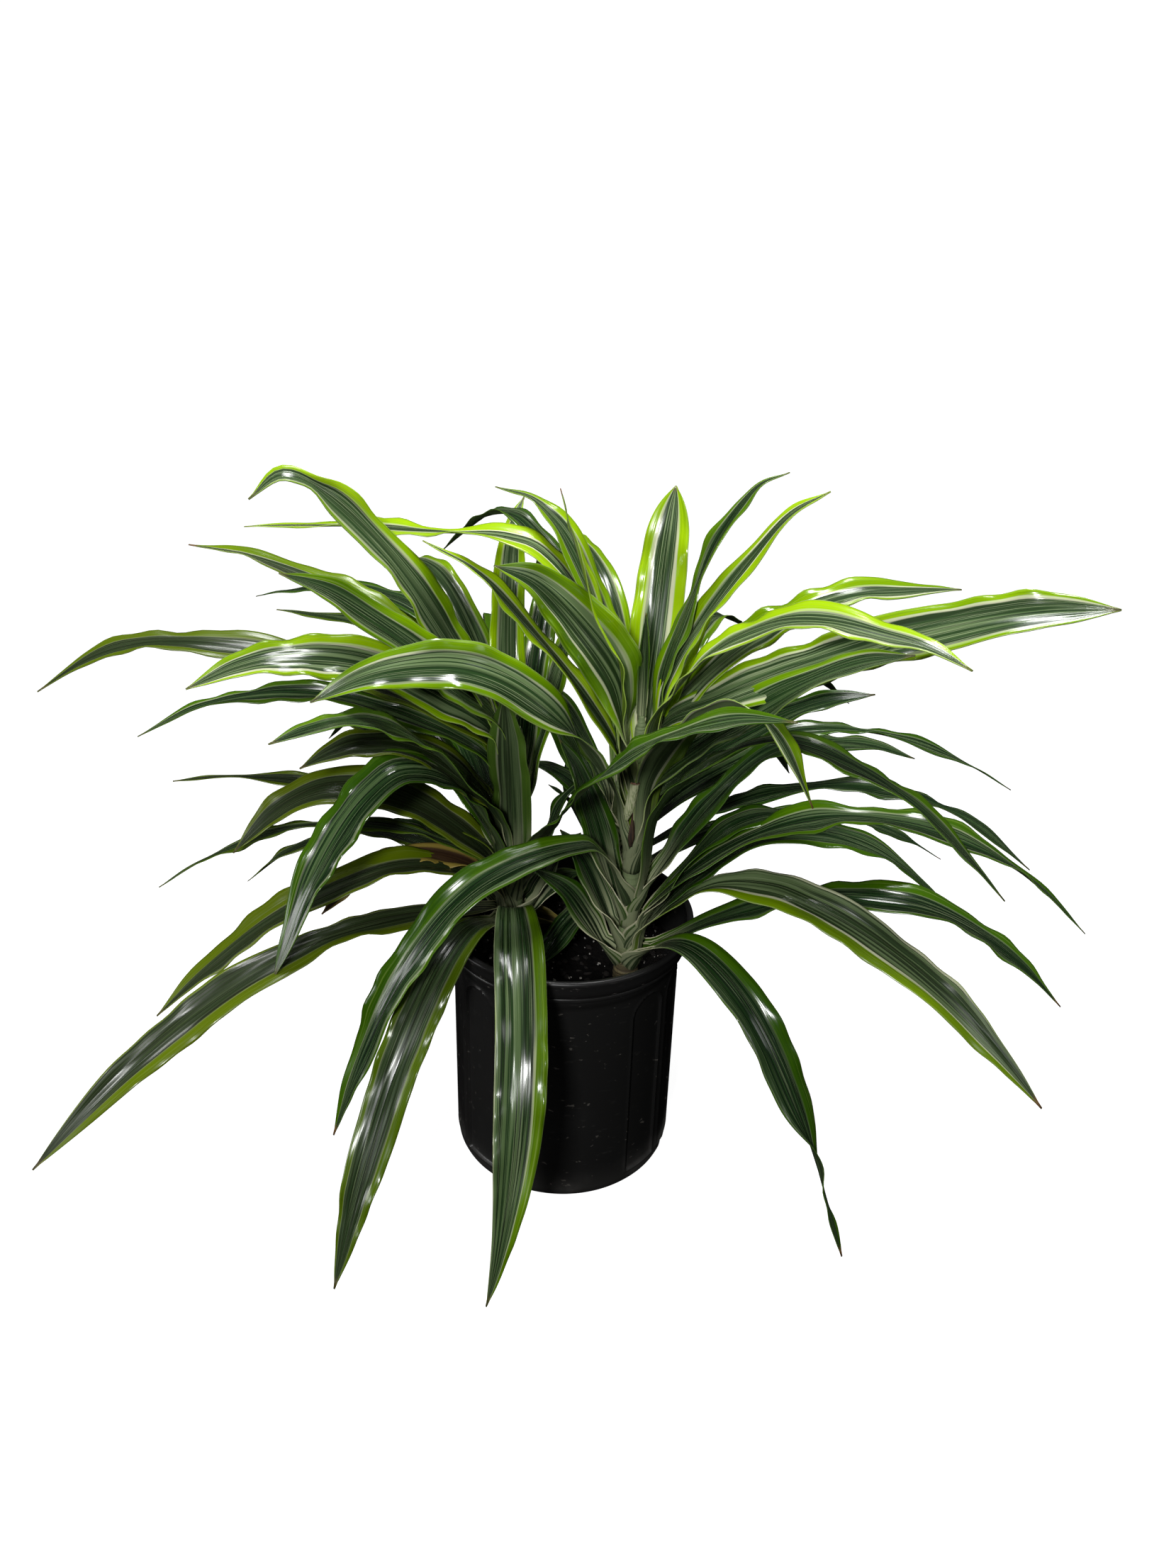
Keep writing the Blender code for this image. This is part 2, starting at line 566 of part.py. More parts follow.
def make_cane(name, finish):
    """One leafy stem: its woody foot and stem, with its leaves fused to it."""
    (_, _, soil), (_, _, top), end_radius = STEMS[name]
    narrowing, top = soil * 0.3 + top * 0.7 + TABLE_BASE, top + TABLE_BASE
    levels = [
        (SOIL_TOP - FOOT_DEPTH, FOOT_RADIUS * 0.92),
        (SOIL_TOP - 0.004, FOOT_RADIUS),
        (SOIL_TOP + 0.006, FOOT_RADIUS),
        (SOIL_TOP + 0.016, STEM_RADIUS),
        (narrowing * CM, STEM_RADIUS),
        (top * CM, end_radius * CM),
        (top * CM + 0.012, end_radius * CM * 0.3),
    ]
    stem = object_from(name, lofted([ring(name, height, radius) for height, radius in levels]), finish)
    holder = bpy.data.collections.new("leaves")
    bpy.context.scene.collection.children.link(holder)
    draw = random.Random(name)
    leaves = []
    for leaf in LEAVES[name]:
        blade = object_from("leaf", leaf_shape(name, leaf, draw), helper=True)
        bpy.context.scene.collection.objects.unlink(blade)
        holder.objects.link(blade)
        leaves.append(blade)
    fuse = stem.modifiers.new("fuse", "BOOLEAN")
    fuse.operation = "UNION"
    fuse.operand_type = "COLLECTION"
    fuse.collection = holder
    fuse.solver = "MANIFOLD"
    apply_modifiers(stem)
    keep_outer_skin(stem)
    for blade in leaves:
        bpy.data.objects.remove(blade)
    bpy.data.collections.remove(holder)
    return stem


def main():
    for existing in list(bpy.data.objects):
        bpy.data.objects.remove(existing)
    plastic = material("black plastic", (0.018, 0.018, 0.019), 0.5)
    mix = material("potting mix", (0.012, 0.009, 0.007), 0.95)
    greens = {
        "cane_left": material("striped leaves, left stem", (0.16, 0.36, 0.03), 0.35),
        "cane_right": material("striped leaves, right stem", (0.20, 0.42, 0.03), 0.35),
        "cane_back": material("striped leaves, back stem", (0.08, 0.20, 0.03), 0.4),
    }
    make_pot(plastic).data.shade_smooth()
    make_soil(mix)
    for name, green in greens.items():
        make_cane(name, green)


main()
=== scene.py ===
"""A lemon lime dracaena in a black nursery pot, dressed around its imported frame.

Everything is in metres, +Z up, with the pot's underside at Z = 0 and its front facing -Y.
"""

import math
import random

import bmesh
import bpy
import numpy as np
from mathutils import Matrix, Vector, noise


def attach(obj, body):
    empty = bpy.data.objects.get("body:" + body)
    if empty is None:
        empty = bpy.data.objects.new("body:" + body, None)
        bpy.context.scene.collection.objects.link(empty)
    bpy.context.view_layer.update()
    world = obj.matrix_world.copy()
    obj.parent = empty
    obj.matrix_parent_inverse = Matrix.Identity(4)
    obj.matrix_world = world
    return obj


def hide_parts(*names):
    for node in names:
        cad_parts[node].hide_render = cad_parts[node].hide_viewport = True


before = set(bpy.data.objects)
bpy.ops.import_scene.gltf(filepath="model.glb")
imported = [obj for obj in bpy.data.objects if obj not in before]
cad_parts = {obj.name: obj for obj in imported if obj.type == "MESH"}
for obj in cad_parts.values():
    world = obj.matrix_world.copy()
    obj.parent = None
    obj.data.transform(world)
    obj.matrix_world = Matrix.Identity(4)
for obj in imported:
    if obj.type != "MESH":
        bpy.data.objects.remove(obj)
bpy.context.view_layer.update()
scene = bpy.context.scene


# The view: the pot stands on a plain white sweep, seen from the front and from above. A soft
# light stands behind the camera and over it, weaker ones to both sides, and one overhead puts
# the gloss on the arched leaves.
CAMERA_PLACE = (0.0178, -1.0658, 0.9782)
CAMERA_PITCH = 26.5
CAMERA_ROLL = 1.83
CAMERA_LENS = 27.02
PLANT_MIDDLE = Vector((0, 0, 0.42))
DOME_LOW, DOME_HIGH = (-0.25, 0.002), (0.9, 0.08)
SWEEP_START = 1.8
SWEEP_RISE = 0.9

camera = bpy.data.objects.new("camera", bpy.data.cameras.new("camera"))
scene.collection.objects.link(camera)
camera.data.sensor_width = 36
camera.data.lens = CAMERA_LENS
camera.matrix_world = (
    Matrix.Translation(CAMERA_PLACE)
    @ Matrix.Rotation(math.radians(90 - CAMERA_PITCH), 4, "X")
    @ Matrix.Rotation(math.radians(CAMERA_ROLL), 4, "Z")
)
scene.camera = camera
scene.view_settings.view_transform = "Standard"

world = bpy.data.worlds.new("studio")
scene.world = world
world.use_nodes = True
studio = world.node_tree
studio.nodes.clear()
seen = studio.nodes.new("ShaderNodeBackground")
seen.inputs["Color"].default_value = (1, 1, 1, 1)
seen.inputs["Strength"].default_value = 1.0
lit = studio.nodes.new("ShaderNodeBackground")
lit.inputs["Color"].default_value = (1.0, 1.0, 0.97, 1)
aloft = studio.nodes.new("ShaderNodeSeparateXYZ")
direction = studio.nodes.new("ShaderNodeTexCoord")
studio.links.new(direction.outputs["Generated"], aloft.inputs[0])
dome = studio.nodes.new("ShaderNodeMapRange")
for place, value in enumerate((DOME_LOW[0], DOME_HIGH[0], DOME_LOW[1], DOME_HIGH[1]), start=1):
    dome.inputs[place].default_value = value
studio.links.new(aloft.outputs[2], dome.inputs[0])
studio.links.new(dome.outputs[0], lit.inputs["Strength"])
ray = studio.nodes.new("ShaderNodeLightPath")
either = studio.nodes.new("ShaderNodeMixShader")
studio_out = studio.nodes.new("ShaderNodeOutputWorld")
studio.links.new(ray.outputs["Is Camera Ray"], either.inputs["Fac"])
studio.links.new(lit.outputs["Background"], either.inputs[1])
studio.links.new(seen.outputs["Background"], either.inputs[2])
studio.links.new(either.outputs["Shader"], studio_out.inputs["Surface"])

for name, place, size, power in (
    ("key light", (-0.45, -2.25, 1.72), 0.34, 34),
    ("right light", (1.6, -1.2, 1.5), 0.6, 3),
    ("left light", (-1.7, -0.6, 0.5), 0.6, 8),
    ("top light", (0.1, 0.10, 2.3), 0.55, 31),
):
    lamp = bpy.data.lights.new(name, "AREA")
    lamp.size = size
    lamp.energy = power
    hung = bpy.data.objects.new(name, lamp)
    hung.location = place
    aim = PLANT_MIDDLE - Vector(place)
    hung.rotation_euler = aim.to_track_quat("-Z", "Y").to_euler()
    scene.collection.objects.link(hung)

sweep = bmesh.new()
bmesh.ops.create_grid(sweep, x_segments=1, y_segments=24, size=4)
for vert in sweep.verts:
    past = max(0.0, vert.co.y - SWEEP_START)
    vert.co.z = SWEEP_RISE * past * past
sweep_mesh = bpy.data.meshes.new("floor")
sweep.to_mesh(sweep_mesh)
sweep.free()
sweep_mesh.shade_smooth()
floor = bpy.data.objects.new("floor", sweep_mesh)
scene.collection.objects.link(floor)
paper = bpy.data.materials.new("white paper")
paper.use_nodes = True
paper_shader = paper.node_tree.nodes["Principled BSDF"]
paper_shader.inputs["Base Color"].default_value = (0.45, 0.45, 0.45, 1)
paper_shader.inputs["Roughness"].default_value = 0.9
paper_shader.inputs["Emission Color"].default_value = (1, 1, 1, 1)
paper_shader.inputs["Emission Strength"].default_value = 0.95
sweep_mesh.materials.append(paper)
floor.visible_diffuse = False
floor.visible_glossy = False


# The pot: one moulded black polyethylene nursery pot. It has a rolled lip, a band with a groove
# under it, a nearly upright wall with round-topped panels pressed in, and four drain holes at
# its rounded foot. Handling has left pale scuffs and turning lines on it.
POT_HEIGHT = 0.297
POT_LIP_RADIUS = 0.135
POT_WALL_RADIUS = 0.1205
POT_FOOT_ROUND = 0.014
POT_BAND = 0.029
POT_FLOOR = 0.0035
POT_SIDES = 420
WALL_ROWS = 140
PANEL_BEARINGS = (47, 73, 107, 133, -47, -73, -107, -133)
PANEL_HALF_ANGLE = 10
PANEL_DEPTH = 0.0022
PANEL_BEAD = 0.0012
PANEL_FOOT = 0.022
PANEL_TOP = 0.249
PANEL_CLEARANCE = 0.012
WALL_INSIDE = 0.1185
DRAIN_BEARINGS = (-18, 72, 162, 252)
DRAIN_RADIUS = 0.0078
DRAIN_HEIGHT = 0.0105
DRAIN_TILT = 115
DRAIN_DEPTH = 0.03


def ease(share):
    """0 to 1 with level ends."""
    share = min(1.0, max(0.0, share))
    return share * share * (3 - 2 * share)


def panel_recess(bearing, height):
    """How far the wall is pressed in here, less the bead that runs round each panel."""
    arch = math.radians(PANEL_HALF_ANGLE) * POT_WALL_RADIUS
    shoulder = PANEL_TOP - arch
    deepest, bead = 0.0, 0.0
    for middle in PANEL_BEARINGS:
        across = math.radians((bearing - middle + 180) % 360 - 180) * POT_WALL_RADIUS
        if height > shoulder:
            inside = arch - math.hypot(across, height - shoulder)
        else:
            inside = min(arch - abs(across), height - PANEL_FOOT)
        deepest = max(deepest, ease((inside + 0.0004) / 0.0018))
        bead = max(bead, math.exp(-((inside + 0.0016) / 0.0011) ** 2))
    return deepest * PANEL_DEPTH - bead * PANEL_BEAD


def socket_from(tree, socket, value):
    """Links a socket to the value, or sets it where the value is plain."""
    if isinstance(value, bpy.types.NodeSocket):
        tree.links.new(value, socket)
    else:
        socket.default_value = value


def node(tree, kind, inputs=None, **settings):
    made = tree.nodes.new("ShaderNode" + kind)
    for key, value in settings.items():
        setattr(made, key, value)
    for key, value in (inputs or {}).items():
        socket_from(tree, made.inputs[key], value)
    return made


def maths(tree, operation, *values):
    made = node(tree, "Math", operation=operation)
    for place, value in enumerate(values):
        socket_from(tree, made.inputs[place], value)
    return made.outputs[0]


def ramp(tree, value, low, high, to_low=0.0, to_high=1.0):
    """A soft step from to_low to to_high as the value goes from low to high."""
    made = node(tree, "MapRange", interpolation_type="SMOOTHSTEP")
    for place, each in enumerate((value, low, high, to_low, to_high)):
        socket_from(tree, made.inputs[place], each)
    return made.outputs[0]


def paint(tree, cover, under, over):
    """One colour over another, where cover is 1."""
    made = node(tree, "Mix", data_type="RGBA")
    for place, value in ((0, cover), (6, under), (7, over)):
        socket_from(tree, made.inputs[place], value)
    return made.outputs[2]


def stretched(tree, vector, scale):
    """The vector scaled by three numbers, for grain that runs one way."""
    made = node(tree, "Mapping")
    socket_from(tree, made.inputs["Vector"], vector)
    socket_from(tree, made.inputs["Scale"], scale)
    return made.outputs[0]


def grain(tree, vector, scale, detail=2.0, roughness=0.5):
    made = node(tree, "TexNoise", {"Scale": scale, "Detail": detail, "Roughness": roughness})
    socket_from(tree, made.inputs["Vector"], vector)
    return made.outputs["Fac"]


def new_material(name):
    made = bpy.data.materials.new(name)
    made.use_nodes = True
    return made, made.node_tree, made.node_tree.nodes["Principled BSDF"]


def raised(tree, shader, height, distance, strength=1.0):
    """Feeds a height in 0 to 1 to the shader's normal as a bump this many metres deep."""
    bump = node(tree, "Bump", {"Height": height, "Distance": distance, "Strength": strength})
    tree.links.new(bump.outputs["Normal"], shader.inputs["Normal"])


def finished(name, shape, materials, sharp=None):
    """The bmesh as a piece that rides on the part's one body."""
    mesh = bpy.data.meshes.new(name)
    shape.to_mesh(mesh)
    shape.free()
    for each in materials:
        mesh.materials.append(each)
    mesh.shade_smooth()
    if sharp:
        mesh.set_sharp_from_angle(angle=math.radians(sharp))
    made = bpy.data.objects.new(name, mesh)
    scene.collection.objects.link(made)
    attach(made, "root")
    return made


def turned(profile, sides):
    """A solid of revolution from (radius, height) points."""
    shape = bmesh.new()
    verts = [shape.verts.new((radius, 0, height)) for radius, height in profile]
    edges = [shape.edges.new(pair) for pair in zip(verts, verts[1:])]
    bmesh.ops.spin(shape, geom=verts + edges, axis=(0, 0, 1), cent=(0, 0, 0),
                   angle=math.tau, steps=sides, use_merge=True)
    bmesh.ops.remove_doubles(shape, verts=shape.verts, dist=1e-6)
    bmesh.ops.recalc_face_normals(shape, faces=shape.faces)
    return shape


band_foot = POT_HEIGHT - POT_BAND
foot_turns = [math.radians(15 * step) for step in range(1, 7)]
wall_shares = [step / WALL_ROWS for step in range(1, WALL_ROWS + 1)]
pot_profile = [
    (0.0, 0.0),
    (0.060, 0.0),
    (POT_WALL_RADIUS - POT_FOOT_ROUND, 0.0),
    *((POT_WALL_RADIUS - POT_FOOT_ROUND * (1 - math.sin(turn)), POT_FOOT_ROUND * (1 - math.cos(turn)))
      for turn in foot_turns),
    *((POT_WALL_RADIUS, POT_FOOT_ROUND + (band_foot - 2 * POT_FOOT_ROUND) * share)
      for share in wall_shares),
    (POT_WALL_RADIUS + 0.0012, band_foot - 0.0100),
    (POT_WALL_RADIUS + 0.0042, band_foot - 0.0050),
    (0.1248, band_foot - 0.0022),
    (0.1250, band_foot - 0.0010),
    (0.1250, band_foot + 0.0004),
    (0.1282, band_foot + 0.0012),
    (0.1290, band_foot + 0.0024),
    (0.1290, band_foot + 0.0046),
    (0.1283, band_foot + 0.0057),
    (0.1258, band_foot + 0.0063),
    (0.1258, band_foot + 0.0078),
    (0.1306, band_foot + 0.0087),
    (0.1320, band_foot + 0.0102),
    (0.1327, band_foot + 0.0160),
    (0.1332, band_foot + 0.0222),
    (0.1336, POT_HEIGHT - 0.0054),
    (POT_LIP_RADIUS, POT_HEIGHT - 0.0044),
    (POT_LIP_RADIUS, POT_HEIGHT - 0.0026),
    (0.1344, POT_HEIGHT - 0.0014),
    (0.1330, POT_HEIGHT - 0.0002),
    (0.1312, POT_HEIGHT),
    (0.1294, POT_HEIGHT - 0.0004),
    (0.1280, POT_HEIGHT - 0.0020),
    (0.1278, POT_HEIGHT - 0.0080),
    (0.1272, band_foot + 0.0150),
    (0.1226, band_foot),
    (0.1169, band_foot - 0.0130),
    (0.1169, band_foot - 0.0300),
    (0.1179, 0.0140),
    (0.1139, 0.0065),
    (0.1095, POT_FLOOR),
    (0.0, POT_FLOOR),
]
pot_shape = turned(pot_profile, POT_SIDES)
for vert in pot_shape.verts:
    radius = vert.co.xy.length
    if radius > WALL_INSIDE and vert.co.z < band_foot - PANEL_CLEARANCE:
        bearing = math.degrees(math.atan2(vert.co.x, -vert.co.y))
        vert.co.xy *= 1 - panel_recess(bearing, vert.co.z) / radius

black_plastic, tree, shader = new_material("black plastic")
place = node(tree, "TexCoord").outputs["Object"]
scuffs = ramp(tree, grain(tree, stretched(tree, place, (60, 60, 260)), 1.0, 4, 0.62), 0.60, 0.78)
smudges = ramp(tree, grain(tree, place, 14, 4, 0.6), 0.48, 0.78)
turning = grain(tree, stretched(tree, place, (3, 3, 900)), 1.0, 2, 0.5)
height_up = node(tree, "SeparateXYZ", {0: place}).outputs[2]
foot_dust = ramp(tree, height_up, 0.0, 0.05, 0.55, 0.0)
wear = maths(tree, "MAXIMUM", maths(tree, "MULTIPLY", scuffs, 0.5), foot_dust)
wear = maths(tree, "MULTIPLY", wear, maths(tree, "ADD", 0.35, smudges))
colour = paint(tree, wear, (0.0135, 0.0133, 0.0130, 1), (0.110, 0.106, 0.098, 1))
scratches = grain(tree, stretched(tree, place, (95, 95, 170)), 1.0, 3, 0.55)
scratches = ramp(tree, scratches, 0.675, 0.700, 0.0, 0.7)
colour = paint(tree, scratches, colour, (0.145, 0.135, 0.120, 1))
tree.links.new(colour, shader.inputs["Base Color"])
gloss = maths(tree, "ADD", 0.34, maths(tree, "MULTIPLY", smudges, 0.14))
gloss = maths(tree, "ADD", gloss, maths(tree, "MULTIPLY", wear, 0.3))
tree.links.new(gloss, shader.inputs["Roughness"])
pebble = grain(tree, place, 1400, 2, 0.5)
relief = maths(tree, "ADD", maths(tree, "MULTIPLY", turning, 0.6), maths(tree, "MULTIPLY", pebble, 0.5))
raised(tree, shader, relief, 0.00012, 0.6)

pot = finished("nursery_pot", pot_shape, [black_plastic], sharp=38)
pegs = bmesh.new()
for bearing in DRAIN_BEARINGS:
    angle = math.radians(bearing - 90)
    outward = Vector((math.cos(angle), math.sin(angle), 0))
    seat = outward * (POT_WALL_RADIUS - 0.001) + Vector((0, 0, DRAIN_HEIGHT))
    tilt = Matrix.Rotation(angle, 4, "Z") @ Matrix.Rotation(math.radians(DRAIN_TILT), 4, "Y")
    bmesh.ops.create_cone(pegs, cap_ends=True, segments=32, radius1=DRAIN_RADIUS,
                          radius2=DRAIN_RADIUS, depth=DRAIN_DEPTH, matrix=Matrix.Translation(seat) @ tilt)
peg_mesh = bpy.data.meshes.new("drain pegs")
pegs.to_mesh(peg_mesh)
pegs.free()
peg_object = bpy.data.objects.new("drain pegs", peg_mesh)
scene.collection.objects.link(peg_object)
drill = pot.modifiers.new("drain holes", "BOOLEAN")
drill.operation = "DIFFERENCE"
drill.object = peg_object
bpy.context.view_layer.update()
drilled = bpy.data.meshes.new_from_object(pot.evaluated_get(bpy.context.evaluated_depsgraph_get()))
pot.modifiers.clear()
pot.data = drilled
bpy.data.objects.remove(peg_object)
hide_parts("pot")


# The potting mix: damp dark peat that fills the pot, crumbly on top, with bark chips and white
# perlite grains lying loose on it.
SOIL_TOP = 0.248
SOIL_RADIUS = 0.1165
STEM_FEET = ((-0.060, 0.010), (0.063, -0.050), (0.052, 0.068))
CLEAR_OF_STEM = 0.017

soil_profile = [(0.0, 0.0043), (0.1095, 0.0043), (0.1125, 0.0075), (SOIL_RADIUS, 0.0160)]
soil_profile += [(SOIL_RADIUS, SOIL_TOP - 0.006)]
soil_profile += [(SOIL_RADIUS * (1 - step / 64), SOIL_TOP) for step in range(0, 65)]
soil_shape = turned(soil_profile, 200)


def soil_height(x, y):
    """The crumbly top of the mix: a low mound, sunk a little at the wall."""
    radius = math.hypot(x, y)
    mound = 0.0036 * ease((SOIL_RADIUS - radius) / 0.05)
    spot = Vector((x, y, 0))
    crumbs = 0.0030 * noise.fractal(spot * 60, 0.9, 2.1, 4) + 0.0012 * noise.noise(spot * 330)
    return SOIL_TOP - 0.002 + mound + max(-0.004, crumbs)


for vert in soil_shape.verts:
    if vert.co.z > SOIL_TOP - 0.001:
        vert.co.z = soil_height(vert.co.x, vert.co.y)

peat, tree, shader = new_material("peat mix")
place = node(tree, "TexCoord").outputs["Object"]
lumps = grain(tree, place, 160, 5, 0.65)
crumb = grain(tree, place, 900, 3, 0.6)
colour = paint(tree, ramp(tree, lumps, 0.35, 0.70), (0.0010, 0.0009, 0.0008, 1), (0.0050, 0.0038, 0.0030, 1))
colour = paint(tree, ramp(tree, crumb, 0.66, 0.76, 0.0, 0.5), colour, (0.030, 0.021, 0.014, 1))
tree.links.new(colour, shader.inputs["Base Color"])
tree.links.new(ramp(tree, lumps, 0.3, 0.7, 0.75, 0.98), shader.inputs["Roughness"])
raised(tree, shader, maths(tree, "ADD", lumps, maths(tree, "MULTIPLY", crumb, 0.5)), 0.0016, 0.8)
shader.inputs["Specular IOR Level"].default_value = 0.15
soil = finished("potting_mix", soil_shape, [peat])
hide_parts("soil")

perlite, tree, shader = new_material("perlite")
place = node(tree, "TexCoord").outputs["Object"]
shader.inputs["Roughness"].default_value = 0.85
stain = ramp(tree, grain(tree, place, 420, 3, 0.6), 0.45, 0.7)
tree.links.new(paint(tree, stain, (0.40, 0.39, 0.36, 1), (0.17, 0.14, 0.10, 1)), shader.inputs["Base Color"])
raised(tree, shader, grain(tree, place, 1500, 2, 0.6), 0.0003)
bark, tree, shader = new_material("bark chips")
place = node(tree, "TexCoord").outputs["Object"]
fibre = grain(tree, stretched(tree, place, (200, 700, 300)), 1.0, 3, 0.6)
tree.links.new(paint(tree, ramp(tree, fibre, 0.35, 0.7), (0.003, 0.002, 0.0015, 1), (0.014, 0.009, 0.006, 1)),
               shader.inputs["Base Color"])
shader.inputs["Roughness"].default_value = 0.9
raised(tree, shader, fibre, 0.0008)

scatter = random.Random(41)
for name, material, count, small, large, squash in (
    ("perlite_grains", perlite, 110, 0.0008, 0.0022, 0.8),
    ("bark_chips", bark, 210, 0.0018, 0.0058, 0.36),
):
    bits = bmesh.new()
    laid = 0
    while laid < count:
        angle = scatter.uniform(0, math.tau)
        radius = SOIL_RADIUS * math.sqrt(scatter.uniform(0, 0.94))
        x, y = radius * math.cos(angle), radius * math.sin(angle)
        if min(math.hypot(x - foot[0], y - foot[1]) for foot in STEM_FEET) < CLEAR_OF_STEM:
            continue
        grown = scatter.uniform(small, large)
        turn = Matrix.Rotation(scatter.uniform(0, math.tau), 4, "Z")
        lean = Matrix.Rotation(scatter.uniform(-0.5, 0.5), 4, "X")
        sized = Matrix.Diagonal((grown, grown * scatter.uniform(0.5, 0.9), grown * squash, 1))
        seat = Matrix.Translation((x, y, soil_height(x, y) + grown * squash * 0.35))
        made = bmesh.ops.create_icosphere(bits, subdivisions=1, radius=1, matrix=seat @ turn @ lean @ sized)
        for vert in made["verts"]:
            vert.co += Vector([scatter.uniform(-0.2, 0.2) * grown for _ in range(3)]) * 0.8
        laid += 1
    piece = finished(name, bits, [material])


# The leafy stems: each is a woody foot that carries a stem of clasping leaf bases. They are
# living wood and leaf. The feet are ringed with the scars of fallen leaves.
FOOT_RADIUS = 0.0100
FOOT_SWELL = 0.0028
STEM_RADIUS = 0.0125
FOOT_DEPTH = 0.075
FOOT_END = FOOT_RADIUS * 0.92
RING_STEP = 0.0016
RING_HEIGHT = 0.0006
CM = 0.01

# The height in cm above the pot's underside that the tables of stems and leaves start from
TABLE_BASE = 1.2

# Where each axis leaves the soil, where it ends, and the stem's radius there, in cm
STEMS = {
    "cane_left": ((-6.0, 1.0, 23.6), (-5.4, 0.8, 48.0), 1.0),
    "cane_right": ((6.3, -5.0, 23.6), (6.6, -5.0, 52.0), 0.8),
    "cane_back": ((5.2, 6.8, 23.6), (5.6, 7.0, 44.0), 0.8),
}


def stem_axis(name, height):
    (x0, y0, z0), (x1, y1, z1), _ = STEMS[name]
    share = max(0.0, (height / CM - TABLE_BASE - z0) / (z1 - z0))
    return Vector((x0 + (x1 - x0) * share, y0 + (y1 - y0) * share, height / CM)) * CM


bark_skin, tree, shader = new_material("woody foot")
place = node(tree, "TexCoord").outputs["Object"]
rings = grain(tree, stretched(tree, place, (18, 18, 420)), 1.0, 2, 0.5)
flecks = grain(tree, stretched(tree, place, (500, 500, 160)), 1.0, 3, 0.6)
climb = ramp(tree, node(tree, "SeparateXYZ", {0: place}).outputs[2], 0.262, 0.302)
colour = paint(tree, ramp(tree, rings, 0.40, 0.62), (0.060, 0.045, 0.020, 1), (0.20, 0.165, 0.080, 1))
colour = paint(tree, ramp(tree, flecks, 0.55, 0.75, 0.0, 0.6), colour, (0.035, 0.025, 0.012, 1))
colour = paint(tree, climb, colour, (0.20, 0.26, 0.12, 1))
tree.links.new(colour, shader.inputs["Base Color"])
shader.inputs["Roughness"].default_value = 0.7
raised(tree, shader, maths(tree, "ADD", rings, maths(tree, "MULTIPLY", flecks, 0.4)), 0.0012)

for name, (_, (_, _, top), end_radius) in STEMS.items():
    core = bmesh.new()
    crown = (top + TABLE_BASE) * CM
    start = stem_axis(name, SOIL_TOP - FOOT_DEPTH)
    bmesh.ops.create_circle(core, cap_ends=True, segments=32, radius=FOOT_END,
                            matrix=Matrix.Translation(start))
    core.faces.ensure_lookup_table()
    face = core.faces[0]
    levels = [
        (SOIL_TOP - 0.004, FOOT_RADIUS + FOOT_SWELL),
        *((SOIL_TOP + step * RING_STEP, FOOT_RADIUS + FOOT_SWELL + RING_HEIGHT * math.sin(step * 2.1))
          for step in range(1, 9)),
        (SOIL_TOP + 0.018, STEM_RADIUS * 0.96),
        (SOIL_TOP + 0.060, STEM_RADIUS * 0.80),
        (SOIL_TOP * 0.3 + crown * 0.7, STEM_RADIUS * 0.72),
        (crown, end_radius * CM * 0.7),
        (crown + 0.012, end_radius * CM * 0.3),
    ]
    below, width = start, FOOT_END
    for height, radius in levels:
        grown = bmesh.ops.extrude_face_region(core, geom=[face])
        face = next(item for item in grown["geom"] if isinstance(item, bmesh.types.BMFace))
        centre = stem_axis(name, height)
        for vert in face.verts:
            vert.co = centre + Vector((vert.co.x - below.x, vert.co.y - below.y, 0)) * (radius / width)
        below, width = centre, radius
    bmesh.ops.remove_doubles(core, verts=core.verts, dist=1e-6)
    interior = [each for each in core.faces if len(each.verts) > 4]
    if len(interior) > 2:
        bmesh.ops.delete(core, geom=interior[1:-1], context="FACES_ONLY")
    bmesh.ops.recalc_face_normals(core, faces=core.faces)
    piece = finished(name.replace("cane", "stem"), core, [bark_skin], sharp=60)
    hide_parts(name)


# The leaves: long smooth straps that clasp the stem, arch out and hang over. Each has a dark
# green centre with pale streaks, a cream line along each side of it and lime margins, ribs
# along its length, and a waxy gloss on its upper face. The underside is duller.
LEAF_ACROSS = 16
LEAF_ALONG = 76
BLADE = 0.0008
CLASP_WRAP = 2.3
CLASP_LENGTH = 0.070
CLASP_GAP = 0.0015
BARE_FOOT = 0.008
BARE_FADE = 0.014
BARE_NARROWING = 0.65
BLADE_WRAP = 0.30
SHOULDER_REACH = 2.4
ARCH_STEP = 6.0
TIP_WIDTH = 0.0016
WAVE_HEIGHT = 0.0034
WAVE_LENGTH = 0.125
RIPPLE_HEIGHT = 0.0019
RIPPLE_LENGTH = 0.041
RIPPLE_GROUP = 0.19
CREASE_DEPTH = 0.0011
RIDGE_DEPTH = 0.0006

